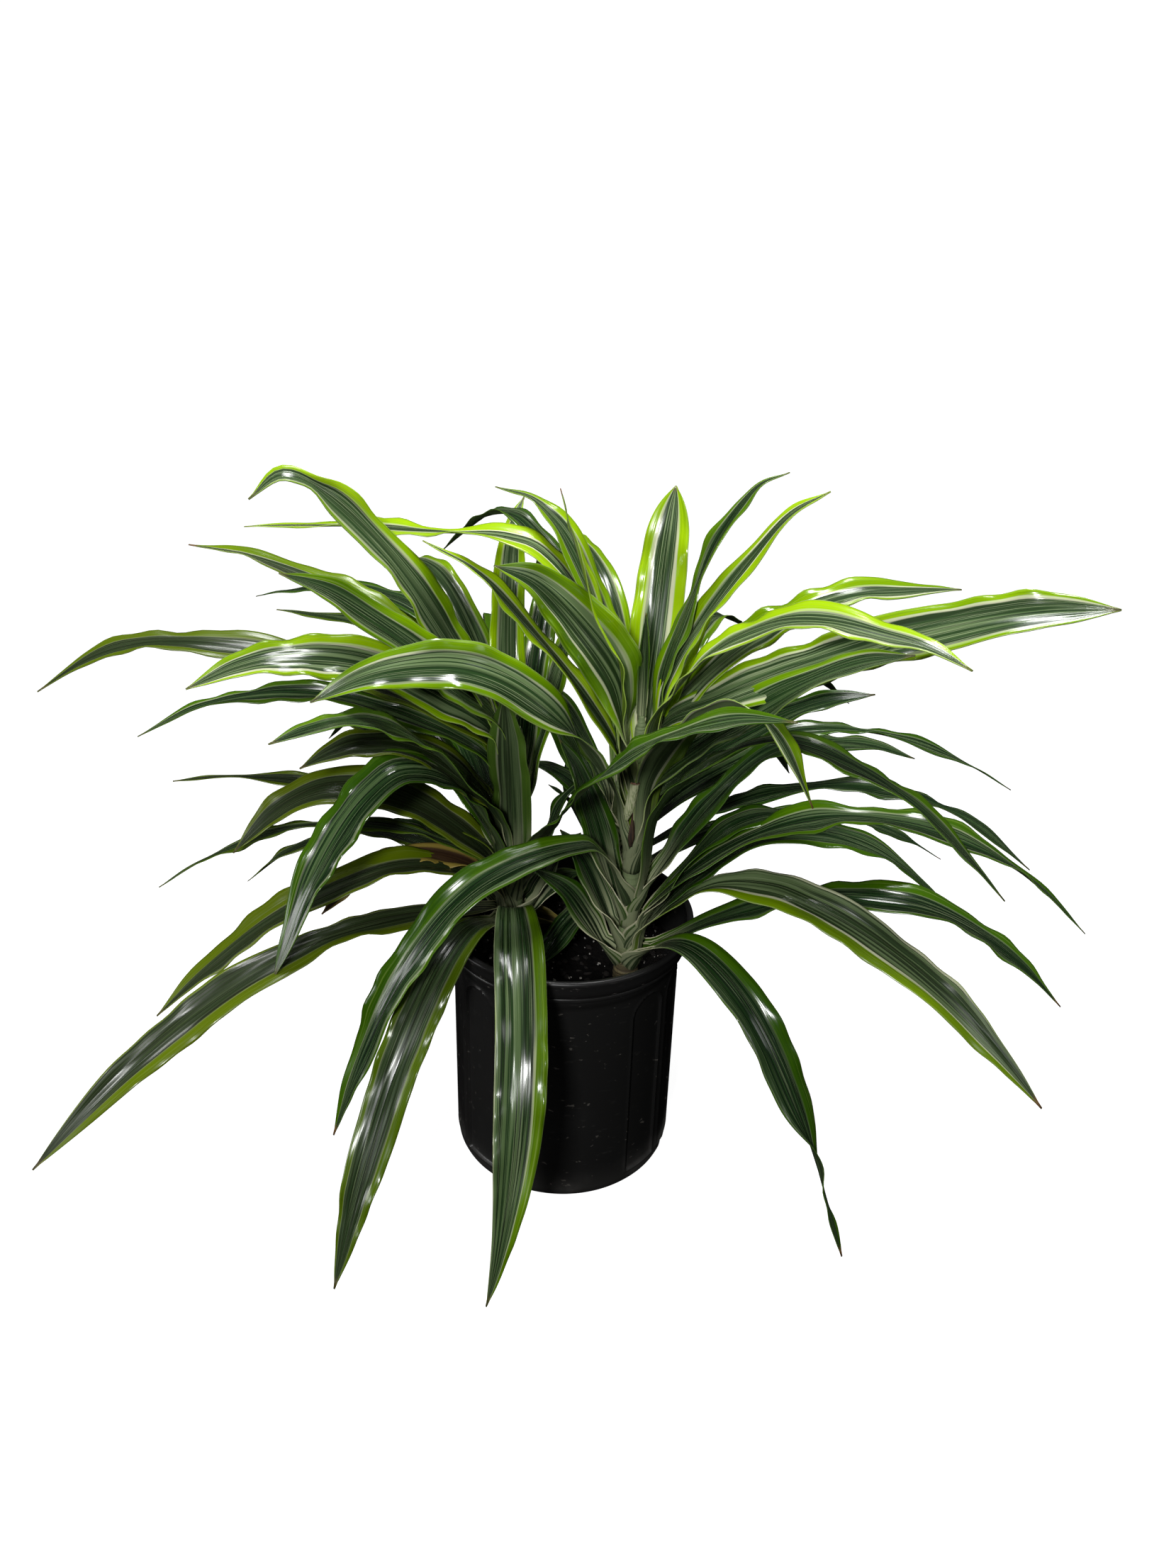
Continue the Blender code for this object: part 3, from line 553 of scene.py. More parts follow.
# Each leaf: the bearing that it leaves the stem on (0 is +X, 90 is +Y), its width in mm, how far
# its face leans to the front of the pot at mid-length and at the tip in degrees, and how far the
# tip sways to the left of the bearing in cm. Then its arch, in cm above the tables' base: the
# heights of its foot in the stem and of the shoulder where it bends away, and the top and the
# tip as (reach, height) from the stem's axis. Last comes the power of the arch, where 1 is
# straight and 2 is round.
LEAVES = {
    "cane_left": [
        # Upper leaves to the left
        (201, 47, (48, 30), 0, (38, 51), (20.5, 75), (23.5, 73), 1.6),
        (222, 48, (50, 46), 0, (38.5, 50.5), (24, 69), (24, 69), 1.3),
        (203, 50, (45, 36), 0, (37, 49), (22, 59), (30.5, 57), 2),
        (190, 38, (22, 18), 0, (35, 47.5), (33, 59), (44, 54.5), 2),
        (170, 34, (14, 6), 0, (39.5, 53), (33, 65), (33, 65), 2),
        (155, 33, (4, 0), 0, (36.5, 50), (15, 60.5), (31.5, 57.5), 2),
        (163, 30, (0, 0), 0, (35.5, 46.5), (20, 58), (26, 58), 2),
        # Middle leaves to the left
        (186, 35, (14, 2), 0, (33.5, 45.5), (22, 53), (36.5, 48.5), 2),
        (232, 44, (20, 10), 0, (30.5, 39), (25, 57), (29, 57), 2),
        (207, 44, (32, 20), 0, (31.5, 40.5), (15.5, 50), (21.5, 48.5), 2),
        (220, 45, (22, 18), 0, (27.5, 37.5), (12.5, 48), (27.5, 30.5), 2),
        (176, 34, (0, 0), 0, (31, 40.5), (18, 48.5), (21.5, 47.5), 2),
        # Lower leaves to the left
        (184, 24, (4, 0), 0, (26.5, 35.5), (27, 43.5), (34, 43), 2),
        (194, 47, (38, 26), 0, (26, 34.5), (17.5, 44), (28, 37.5), 2),
        (189, 22, (0, 0), 0, (25, 33.5), (18, 39), (36, 32.5), 2),
        (172, 30, (0, 0), 0, (25.5, 32), (14.5, 35.5), (30, 27.5), 2),
        (197, 32, (10, 14), 0, (25, 32), (11, 36), (20, 30), 2),
        (206, 40, (16, 12), 0, (25, 31), (12, 36), (37, 24.5), 2),
        (218, 40, (18, 48), 0, (25, 28.5), (21, 32), (50.5, 19), 1.8),
        (245, 44, (16, 12), 0, (24.5, 27), (9.5, 30.2), (34, 5), 1.8),
        (277, 50, (0, 0), (-4, 7), (24.5, 27.5), (8, 32), (32, 5), 2.3),
        # Upright leaves in the middle of the fan
        (115, 38, (0, 10), -5.5, (39.5, 47), (12, 69), (12, 69), 1.7),
        (70, 34, (0, 0), 0, (38, 46.5), (11.5, 64), (11.5, 64), 1.8),
        (38, 33, (0, 0), 0, (36.5, 45.5), (9, 60), (9, 60), 1.6),
        # Leaves to the right, in front of the right stem and low over the soil
        (-61, 40, (35, 34), 6.5, (29, 34.5), (35.5, 62.5), (35.5, 62.5), 1.6),
        (14, 36, (12, 6), 0, (24.5, 27.5), (7.5, 31.5), (7.5, 31.5), 2),
        # The dried stub over the soil
        (-8, 14, (0, 0), 0, (24.5, 25.5), (5.5, 26.5), (5.5, 26.5), 2),
        # Leaves to the back
        (128, 42, (0, 0), 0, (37.5, 47.5), (17, 61.5), (26, 59), 2),
        (98, 42, (0, 0), 0, (33, 40.5), (18, 54), (37, 42), 2),
        (142, 40, (0, 0), 0, (29, 35.5), (17, 45), (29, 39), 2),
        (112, 40, (0, 0), 0, (25.5, 31), (18, 39.5), (33, 30), 2),
        (150, 36, (0, 0), 0, (24.5, 27.5), (13, 33), (31, 21.5), 2),
        # Broad leaves that hide the stem, to the front and between the stems
        (262, 48, (0, 0), 0, (31, 35), (4.5, 54), (4.5, 54), 1.4),
        (0, 38, (0, 0), 0, (29.5, 33), (7.5, 44), (7.5, 44), 1.6),
        (18, 36, (0, 0), 0, (26, 28.5), (7.5, 36), (7.5, 36), 1.6),
    ],
    "cane_right": [
        # Upright leaves and the rolled young leaf
        (73, 48, (0, 0), 0, (46.5, 55), (8.5, 73), (8.5, 73), 1.3),
        (90, 15, (0, 0), 0, (48.5, 54), (1, 63), (1, 63), 1.5),
        (15, 30, (6, 0), 0, (45, 58.5), (12.5, 75.5), (12.5, 75.5), 2.2),
        (-6, 34, (22, 22), 0, (44.5, 57.5), (15, 75), (15, 75), 1.5),
        (33, 36, (10, 10), 0, (44, 54.5), (11, 66), (11, 66), 1.7),
        # Upper leaves to the right
        (-22, 47, (48, 44), 0, (42.5, 53), (38.5, 69.5), (38.5, 69.5), 1.5),
        (6, 40, (24, 18), 0, (41.5, 53), (24, 65.5), (29, 65.5), 2.4),
        (-42, 41, (26, 16), 0, (43, 54.5), (24, 67.5), (31, 66.5), 2.8),
        (-30, 45, (34, 30), 0, (36.5, 47.5), (24.5, 64.5), (24.5, 64.5), 1.5),
        (-56, 38, (-12, -30), 3, (37.5, 47.5), (14, 58.5), (20.5, 52), 2),
        # Middle leaves to the right
        (-27, 38, (0, -6), 0, (30, 43.5), (15, 54), (35, 44), 2),
        (-20, 42, (14, -14), 0, (27, 33), (25, 47.5), (42, 40), 2.2),
        (-10, 42, (6, 2), 0, (25.5, 31), (17.5, 43), (30.5, 37), 2),
        (-31, 44, (24, 22), 0, (24.5, 31), (14.5, 39.5), (42, 26.5), 2),
        (-16, 40, (14, 4), 0, (24.5, 27.5), (26, 38.5), (42, 30), 2),
        (-44, 40, (22, 10), 0, (24.5, 27.5), (8.5, 31.5), (29.5, 6.5), 2),
        # Leaves to the left, over and in front of the left stem
        (204, 41, (24, 18), 0, (32.5, 37.5), (6, 40.5), (31.5, 12.5), 2.8),
        (172, 33, (6, 4), 0, (41, 50.5), (20.5, 68.5), (20.5, 68.5), 1.5),
        (190, 36, (16, 10), 0, (44.5, 59), (8, 74.5), (8, 74.5), 0.8),
        (205, 47, (55, 50), 0, (45, 57), (14.5, 69), (14.5, 69), 1.7),
        (166, 40, (8, 0), 0, (42, 55), (13, 69), (39.5, 67.5), 2.4),
        (152, 40, (6, 0), 0, (43.5, 57), (16, 72.5), (16, 72.5), 2.6),
        (138, 34, (0, 0), 0, (41, 52.5), (17.5, 69), (27.5, 63.5), 1.8),
        (198, 50, (50, 48), 0, (38.5, 46), (20.5, 60), (30, 57.5), 2.2),
        # Leaves to the back
        (62, 40, (0, 0), 0, (41, 51), (14, 58.5), (25, 55), 2),
        (112, 38, (0, 0), 0, (40, 52.5), (17, 65), (31, 57), 2),
        # Lower leaves to both sides of the stem
        (172, 38, (10, 10), 0, (24.5, 27), (10, 35.5), (10, 35.5), 1.8),
        (155, 40, (0, 0), 0, (27, 30.5), (8, 39), (8, 39), 1.6),
        (143, 40, (6, 0), 0, (30.5, 34.5), (9.5, 48), (9.5, 48), 1.5),
        (8, 44, (0, 0), 0, (31.5, 35.5), (16, 50), (20, 49), 1.8),
        (-6, 42, (0, 0), 0, (28, 32), (13, 44), (19, 43), 1.8),
    ],
    "cane_back": [
        # Leaves to the right, behind the right stem
        (-15, 34, (0, 0), 0, (27, 32), (27, 44), (42.5, 37.5), 2),
        (-12, 38, (34, 24), 0, (33, 38.5), (25, 53.5), (25, 53.5), 1.6),
        (-3, 26, (0, 0), 0, (31.5, 37), (22, 48), (41, 42), 2),
        (5, 38, (6, 0), 0, (29.5, 34.5), (22, 45), (32, 43), 2),
        (12, 30, (0, 0), 0, (25.5, 29), (19, 35), (39.5, 27.5), 2),
        # Leaves to the back
        (30, 40, (0, 0), 0, (33.5, 40), (18, 50), (31, 44), 2),
        (48, 42, (0, 0), 0, (26.5, 32), (17, 40.5), (34, 30), 2),
        (68, 42, (0, 0), 0, (30.5, 37), (17, 47.5), (33, 37.5), 2),
        (88, 42, (0, 0), 0, (34.5, 41), (16, 52), (32, 42.5), 2),
        (102, 38, (0, 0), 0, (25, 28.5), (14, 35), (31, 22.5), 2),
        (128, 40, (0, 0), 0, (29, 34), (17.5, 45), (28, 41), 2),
        (150, 36, (0, 0), 0, (34, 40), (12, 49), (15, 48), 2),
        (165, 34, (0, 0), 0, (31, 36), (9.5, 41), (12.5, 40.5), 2),
        (75, 30, (0, 0), 0, (40.5, 48), (4.5, 56), (4.5, 56), 1.3),
        # A low leaf over the soil
        (238, 36, (0, 0), 0, (25, 26.5), (5, 28), (15, 25.2), 2),
        # Leaves to the left, between the other two stems
        (190, 38, (0, 0), 0, (33, 37), (8.5, 49), (8.5, 49), 1.6),
        (197, 36, (0, 0), 0, (27.5, 31), (8, 41), (8, 41), 1.7),
    ],
}

# How each leaf looks, by its place in its stem's list. lime goes from 0, deep green margins, to
# 1, lime; a leaf without it takes it from the height that it reaches. lime is partly the leaf's
# own colour and partly painted light: high, lit leaves get more of it, low leaves in shade less.
# margins are the shares of its width that the left and right margins take. pale, olive, dry and
# tip go from 0 to 1: pale streaks, an olive cast that is partly painted shade on shaded leaves,
# withering and a scorched tip. blunt rounds the tip, wrap rolls the blade, and ruffle waves its
# edges more. twists are (middle, degrees, spread) along the leaf, and pinches (middle, share of
# the width kept, spread), where more than 1 widens it.
LEAF_LOOKS = {
    "cane_left": {
        0: {"margins": (0.10, 0.22), "lime": 0.84, "twists": [(0.86, 24, 0.07)],
            "pinches": [(0.87, 0.5, 0.035)]},
        1: {"margins": (0.12, 0.22), "lime": 0.72},
        2: {"margins": (0.14, 0.20), "lime": 0.86, "pale": 1.0, "ruffle": 2.0},
        3: {"margins": (0.20, 0.22), "lime": 0.45, "olive": 0.8, "pinches": [(0.52, 0.72, 0.05)]},
        4: {"margins": (0.08, 0.42), "lime": 0.75, "olive": 0.6, "tip": 1},
        5: {"lime": 0.35},
        6: {"lime": 0.35, "olive": 0.4},
        7: {"margins": (0.18, 0.20), "lime": 0.50, "pale": 0.8},
        8: {"margins": (0.12, 0.20), "lime": 0.55},
        9: {"margins": (0.10, 0.16), "lime": 0.25, "olive": 0.8},
        10: {"margins": (0.08, 0.22), "lime": 0.42, "pale": 1.0, "ruffle": 1.8},
        11: {"lime": 0.25, "olive": 0.6},
        12: {"margins": (0.20, 0.20), "lime": 0.40, "olive": 0.7},
        13: {"margins": (0.14, 0.22), "lime": 0.35, "olive": 0.9},
        14: {"margins": (0.30, 0.20), "lime": 0.45, "olive": 0.4, "pale": 1.0},
        15: {"lime": 0.25, "olive": 0.5},
        16: {"dry": 1.0, "tip": 1, "ruffle": 2.6, "twists": [(0.95, 70, 0.08)]},
        17: {"margins": (0.08, 0.38), "lime": 0.40, "olive": 0.9, "pale": 0.3},
        18: {"margins": (0.30, 0.05), "lime": 0.42, "olive": 0.9, "pale": 0.3,
             "pinches": [(0.40, 0.62, 0.07)]},
        19: {"margins": (0.22, 0.14), "lime": 0.34, "olive": 0.5, "ruffle": 1.8},
        20: {"margins": (0.24, 0.01), "lime": 0.52, "olive": 0.3, "pale": 1.0, "ruffle": 1.8,
             "pinches": [(0.90, 0.75, 0.14)]},
        21: {"margins": (0.24, 0.22), "lime": 0.90},
        22: {"margins": (0.16, 0.16), "lime": 0.60},
        24: {"margins": (0.26, 0.10), "lime": 0.42, "pale": 0.9},
        25: {"lime": 0.25},
        26: {"dry": 0.85, "tip": 1, "blunt": 1, "lime": 0.6},
        32: {"margins": (0.20, 0.26), "lime": 0.58, "pale": 0.9, "twists": [(0.55, 26, 0.2)], "ruffle": 1.6},
        33: {"lime": 0.30},
        34: {"lime": 0.25, "pale": 1.0},
    },
    "cane_right": {
        0: {"margins": (0.24, 0.26), "lime": 0.98, "blunt": 0.9, "pale": 1.0},
        1: {"wrap": 1.4, "lime": 0.35},
        2: {"margins": (0.24, 0.20), "lime": 0.66, "pinches": [(0.62, 0.5, 0.05)]},
        3: {"margins": (0.26, 0.28), "lime": 0.95, "pale": 0.9},
        4: {"margins": (0.12, 0.28), "lime": 0.80},
        5: {"margins": (0.15, 0.11), "lime": 0.84, "blunt": 0.8, "pale": 0.6, "ruffle": 1.8},
        6: {"margins": (0.30, 0.12), "lime": 0.82, "ruffle": 2.4, "pale": 0.9},
        7: {"margins": (0.26, 0.10), "lime": 0.95, "pale": 0.9},
        8: {"margins": (0.18, 0.03), "lime": 0.66},
        9: {"margins": (0.40, 0.06), "lime": 0.84, "pale": 1.0, "tip": 1},
        10: {"margins": (0.20, 0.12), "lime": 0.50},
        11: {"margins": (0.24, 0.10), "lime": 0.46, "pinches": [(0.56, 0.68, 0.04)], "pale": 0.8},
        12: {"margins": (0.12, 0.18), "lime": 0.30},
        13: {"margins": (0.03, 0.28), "lime": 0.70, "olive": 0.55, "pale": 1.0, "tip": 1,
             "pinches": [(0.30, 0.5, 0.07)]},
        14: {"margins": (0.26, 0.08), "lime": 0.44, "pinches": [(0.42, 0.55, 0.06)], "tip": 1},
        15: {"margins": (0.28, 0.04), "lime": 0.40, "twists": [(0.80, 70, 0.10)],
             "pinches": [(0.84, 0.4, 0.13)], "tip": 1},
        16: {"margins": (0.08, 0.32), "lime": 0.48, "tip": 1, "pale": 0.8},
        17: {"margins": (0.30, 0.30), "lime": 0.95},
        18: {"margins": (0.26, 0.26), "lime": 0.95, "pinches": [(0.90, 0.5, 0.06)], "tip": 1},
        19: {"margins": (0.20, 0.24), "lime": 0.74, "pale": 1.0, "twists": [(0.55, 28, 0.3)],
             "pinches": [(0.5, 1.25, 0.3)]},
        20: {"margins": (0.34, 0.30), "lime": 0.98, "pale": 1.0, "pinches": [(0.64, 0.5, 0.06)]},
        21: {"margins": (0.22, 0.22), "lime": 0.78},
        22: {"margins": (0.14, 0.14), "lime": 0.30},
        23: {"margins": (0.14, 0.20), "lime": 0.70, "pale": 1.0, "twists": [(0.30, -52, 0.10)],
             "pinches": [(0.32, 0.65, 0.12)]},
        26: {"lime": 0.30, "pale": 0.9},
        27: {"lime": 0.25, "pale": 0.8},
        28: {"lime": 0.30},
        29: {"lime": 0.35},
        30: {"lime": 0.35},
    },
    "cane_back": {
        0: {"margins": (0.10, 0.10), "lime": 0.15},
        1: {"margins": (0.16, 0.10), "lime": 0.30},
        2: {"margins": (0.20, 0.14), "lime": 0.32, "pale": 0.8},
        3: {"margins": (0.10, 0.10), "lime": 0.25, "blunt": 1, "pale": 0.8},
        4: {"margins": (0.12, 0.12), "lime": 0.25, "tip": 1},
        14: {"margins": (0.10, 0.10), "lime": 0.15, "pale": 0.1},
        15: {"lime": 0.25, "pale": 0.8},
        16: {"lime": 0.20, "pale": 0.8},
    },
}


def smooth_line(points, count):
    """Points at equal steps along a smooth curve through these points, and its length."""
    knots = np.array(points, float)
    knots = np.vstack([2 * knots[0] - knots[1], knots, 2 * knots[-1] - knots[-2]])
    fine = []
    for before, start, end, after in zip(knots, knots[1:], knots[2:], knots[3:]):
        for share in np.linspace(0, 1, 12, endpoint=False):
            fine.append(0.5 * (2 * start + (end - before) * share
                               + (2 * before - 5 * start + 4 * end - after) * share ** 2
                               + (3 * start - before - 3 * end + after) * share ** 3))
    fine.append(knots[-2])
    fine = np.array(fine)
    along = np.concatenate([[0], np.cumsum(np.linalg.norm(np.diff(fine, axis=0), axis=1))])
    steps = np.linspace(0, along[-1], count + 1)
    return np.stack([np.interp(steps, along, column) for column in fine.T], axis=1), along[-1]


def stem_radius(name, height):
    """The stem's radius in cm at this height in cm: even at first, narrower over its top third."""
    (_, _, soil), (_, _, top), end_radius = STEMS[name]
    narrowing = soil * 0.3 + top * 0.7
    share = min(1.0, max(0.0, (height - narrowing) / (top - narrowing)))
    return STEM_RADIUS / CM + (end_radius - STEM_RADIUS / CM) * share


def leaf_midline(name, leaf):
    """(reach, height) knots in cm: up along the stem, up the arch to its top, and down to the tip."""
    (foot, shoulder), (top_reach, top), (tip_reach, tip), arch = leaf[4:]
    bend = min(SHOULDER_REACH, 0.35 * tip_reach)
    start = min(stem_radius(name, foot) - 0.35, 0.6 * bend)
    knots = [(start, foot), (start + (bend - start) * 0.5, (foot + shoulder) / 2), (bend, shoulder)]
    steps = max(2, round(math.hypot(top_reach - bend, top - shoulder) / ARCH_STEP))
    for step in range(1, steps + 1):
        share = step / steps
        knots.append((bend + (top_reach - bend) * share, top - (top - shoulder) * (1 - share) ** arch))
    steps = math.ceil(math.hypot(tip_reach - top_reach, tip - top) / ARCH_STEP)
    for step in range(1, steps + 1):
        share = step / steps
        knots.append((top_reach + (tip_reach - top_reach) * share, top - (top - tip) * share ** arch))
    return [(reach, height + TABLE_BASE) for reach, height in knots]


def leaf_width(share, width, blunt):
    """A leaf is narrow where it clasps the stem, widest past the middle, and ends in a point."""
    spread = 0.52 + 0.48 * ease((share - 0.04) / 0.32)
    point = max(0.0, (share - 0.55) / 0.45)
    taper = (1 - point ** (2.8 + blunt * 2.2)) * (1 - 0.08 * point * (1 - blunt))
    return max(TIP_WIDTH, width * spread * taper)


def bell(share, middle, spread):
    return math.exp(-((share - middle) / spread) ** 2)


def grow_leaf(shape, layers, name, leaf, odd, draw, detail):
    """Adds one leaf to the bmesh: a grid laid along the leaf's midline."""
    bearing, width, (lean_middle, lean_tip), sway = leaf[:4]
    sway, bend = sway if isinstance(sway, tuple) else (sway, 2)
    midline = np.array(leaf_midline(name, leaf)) * CM
    left_margin, right_margin = odd.get("margins", (0.18, 0.18))
    # A leaf without its own lime takes it from the height it reaches, so higher leaves are painted lighter:
    # partly painted light
    lime = odd.get("lime", min(0.95, max(0.2, (leaf[5][1] - 30) / 42)))
    heading = math.radians(bearing)
    out = Vector((math.cos(heading), math.sin(heading), 0))
    left = Vector((-math.sin(heading), math.cos(heading), 0))
    toward_front = -math.copysign(1, math.cos(heading))
    line, length = smooth_line(midline, LEAF_ALONG)
    clasp = line[0][0] + CLASP_GAP
    reach_end = line[-1][0]
    phase = [draw.uniform(0, math.tau) for _ in range(2)]
    ripple = [detail.uniform(0, math.tau) for _ in range(4)]
    seed = detail.random()
    foot = stem_axis(name, midline[0][1])
    points = [
        Vector((foot.x, foot.y, 0)) + out * reach + left * (sway * CM * (reach / reach_end) ** bend)
        + Vector((0, 0, height))
        for reach, height in line
    ]
    made = bmesh.ops.create_grid(shape, x_segments=LEAF_ACROSS, y_segments=LEAF_ALONG, size=0.5,
                                 calc_uvs=True)
    rows = {}
    for vert in made["verts"]:
        rows.setdefault(round((vert.co.y + 0.5) * LEAF_ALONG), []).append(vert)
    for step, row in rows.items():
        share = step / LEAF_ALONG
        point = points[step]
        tangent = (points[min(step + 1, LEAF_ALONG)] - points[max(step - 1, 0)]).normalized()
        side = (left - tangent * left.dot(tangent)).normalized()
        normal = tangent.cross(side)
        if share < 0.5:
            lean = lean_middle * ease(share / 0.5)
        else:
            lean = lean_middle + (lean_tip - lean_middle) * (share - 0.5) * 2
        roll = math.radians(lean) * toward_front
        for middle, turn, spread in odd.get("twists", ()):
            roll += math.radians(turn) * bell(share, middle, spread)
        side, normal = (side * math.cos(roll) - normal * math.sin(roll),
                        normal * math.cos(roll) + side * math.sin(roll))
        half = leaf_width(share, width / 1000, odd.get("blunt", 0)) / 2
        for middle, kept, spread in odd.get("pinches", ()):
            half *= 1 - (1 - kept) * bell(share, middle, spread)
        hold = 1 - ease((share * length - 0.004) / CLASP_LENGTH)
        blade_wrap = odd.get("wrap", BLADE_WRAP)
        wrap = blade_wrap + (CLASP_WRAP - blade_wrap) * hold
        half = max(half, (clasp + line[step][0]) / 2 * wrap * hold)
        half *= 1 - BARE_NARROWING * hold * (1 - ease((point.z - SOIL_TOP - BARE_FOOT) / BARE_FADE))
        rise = ease((share - 0.15) / 0.25) * ease((1 - share) / 0.2)
        crease = ease((share - 0.1) / 0.2) * ease((1 - share) / 0.3)
        rough = odd.get("ruffle", 1)
        for vert in row:
            across = -2 * vert.co.x
            edge = abs(across)
            turn = 0 if across > 0 else 1
            cycle = math.tau * share * length / WAVE_LENGTH + phase[turn]
            wave = WAVE_HEIGHT * rise * edge * math.sin(cycle)
            slow = 0.5 + 0.5 * math.sin(math.tau * share * length / RIPPLE_GROUP + ripple[turn])
            quick = math.sin(math.tau * share * length / RIPPLE_LENGTH + ripple[turn + 2])
            wave += RIPPLE_HEIGHT * rough * rise * edge ** 2.5 * quick * slow
            wave -= CREASE_DEPTH * crease * (1 - min(1, edge / 0.10))
            wave += RIDGE_DEPTH * crease * math.cos(edge * 9)
            vert.co = (point + side * (half * math.sin(wrap * across) / wrap)
                       + normal * (half * (1 - math.cos(wrap * across)) / wrap + wave))
            for layer, value in zip(layers, (seed, lime, left_margin, right_margin, odd.get("pale", 0.38),
                                             odd.get("olive", 0), odd.get("dry", 0),
                                             odd.get("tip", 0.3), length)):
                vert[layer] = value


def stripes_group():
    """The colours across a leaf, its gloss and its ribs, from the leaf's own UV map."""
    group = bpy.data.node_groups.new("leaf stripes", "ShaderNodeTree")
    for label in ("Across", "Along", "Seed", "Lime", "Left margin", "Right margin", "Pale",
                  "Olive", "Dry", "Tip", "Length"):
        group.interface.new_socket(name=label, in_out="INPUT", socket_type="NodeSocketFloat")
    group.interface.new_socket(name="Colour", in_out="OUTPUT", socket_type="NodeSocketColor")
    group.interface.new_socket(name="Roughness", in_out="OUTPUT", socket_type="NodeSocketFloat")
    group.interface.new_socket(name="Height", in_out="OUTPUT", socket_type="NodeSocketFloat")
    given = group.nodes.new("NodeGroupInput").outputs
    across, seed = given["Across"], given["Seed"]
    metres = maths(group, "MULTIPLY", given["Along"], given["Length"])

    def strip(count, stretch, shift):
        """Noise in bands that run along the leaf, this many across it."""
        vector = node(group, "CombineXYZ", {
            0: maths(group, "MULTIPLY", across, count),
            1: maths(group, "MULTIPLY", metres, stretch),
            2: maths(group, "MULTIPLY", seed, shift),
        })
        return grain(group, vector.outputs[0], 1.0, 1.5, 0.5)

    def times(one, other):
        return maths(group, "MULTIPLY", one, other)

    def plus(one, other):
        return maths(group, "ADD", one, other)

    def swing(value, height):
        """Noise in 0 to 1 turned into a swing to both sides of 0."""
        return times(maths(group, "SUBTRACT", value, 0.5), height)

    # Where the centre, the lines beside it and the margins lie across the leaf
    place = plus(across, swing(strip(1.6, 14, 57), 0.07))
    from_left = maths(group, "SUBTRACT", place, given["Left margin"])
    from_right = maths(group, "SUBTRACT", maths(group, "SUBTRACT", 1.0, given["Right margin"]), place)
    inside = maths(group, "MINIMUM", from_left, from_right)
    off_middle = maths(group, "ABSOLUTE", maths(group, "SUBTRACT", across, 0.5))
    centre = ramp(group, inside, -0.006, 0.008)
    line_width = times(ramp(group, strip(3, 9, 23), 0.3, 0.7, 0.008, 0.034),
                       ramp(group, given["Lime"], 0.3, 0.95, 0.8, 1.7))
    line = ramp(group, maths(group, "ABSOLUTE", inside), times(line_width, 0.5),
                plus(line_width, 0.006), 1.0, 0.0)
    border = ramp(group, off_middle, 0.478, 0.492)
    fine = strip(64, 7, 131)
    broad = strip(13, 2.4, 211)
    mid_tone = strip(30, 4, 17)
    # The lime level, partly the leaf's youth and partly painted light on high leaves and painted shade on low
    # ones
    youth_and_light = ramp(group, given["Lime"], 0.3, 1.0)
    sheath = ramp(group, metres, 0.030, 0.100, 1.0, 0.0)

    # The centre: dark green, with pale streaks and a dark rib. Leaves with more lime get a lighter centre,
    # partly as painted light
    body = paint(group, ramp(group, mid_tone, 0.40, 0.62), (0.0045, 0.0150, 0.0040, 1),
                 (0.018, 0.052, 0.013, 1))
    body = paint(group, ramp(group, youth_and_light, 0.3, 1.0, 0.0, 0.35), body, (0.075, 0.130, 0.050, 1))
    streak = paint(group, youth_and_light, (0.066, 0.120, 0.040, 1), (0.190, 0.275, 0.120, 1))
    body = paint(group, times(ramp(group, broad, 0.52, 0.59), given["Pale"]), body, streak)
    threads = times(ramp(group, fine, 0.58, 0.65), ramp(group, youth_and_light, 0, 1, 0.42, 0.85))
    body = paint(group, threads, body, (0.30, 0.38, 0.20, 1))
    # The olive cast: partly the leaf's own tone and partly painted shade on leaves that lie in shadow
    body = paint(group, times(given["Olive"], 0.65), body, (0.028, 0.033, 0.013, 1))
    body = paint(group, ramp(group, off_middle, 0.0, 0.03, 0.5, 0.0), body, (0.004, 0.014, 0.004, 1))

    # The margins: deep green to lime, in patches. The lime level is partly painted light: brighter on high
    # leaves, darker on low, shaded ones
    margin = node(group, "ValToRGB")
    margin.color_ramp.elements[0].color = (0.010, 0.042, 0.002, 1)
    margin.color_ramp.elements[1].color = (0.385, 0.630, 0.003, 1)
    for stop, shade in ((0.35, (0.029, 0.092, 0.001, 1)), (0.60, (0.074, 0.180, 0.001, 1)),
                        (0.82, (0.195, 0.370, 0.001, 1))):
        margin.color_ramp.elements.new(stop).color = shade
    patch = plus(swing(strip(2, 9, 71), 0.55), swing(fine, 0.35))
    socket_from(group, margin.inputs[0], plus(given["Lime"], patch))
    # Olive margins: partly the leaf's own tone and partly painted shade
    rim = paint(group, times(given["Olive"], 0.75), margin.outputs[0], (0.135, 0.175, 0.002, 1))
    rim = paint(group, ramp(group, mid_tone, 0.60, 0.72, 0.0, 0.22), rim, (0.50, 0.62, 0.16, 1))

    # The cream lines, the thin pale edge, and the pale base with its hems
    colour = paint(group, centre, rim, body)
    line = times(line, ramp(group, strip(2.5, 8, 401), 0.36, 0.56, 0.35, 1.0))
    line = times(line, ramp(group, given["Pale"], 0.2, 1.0, 0.45, 1.0))
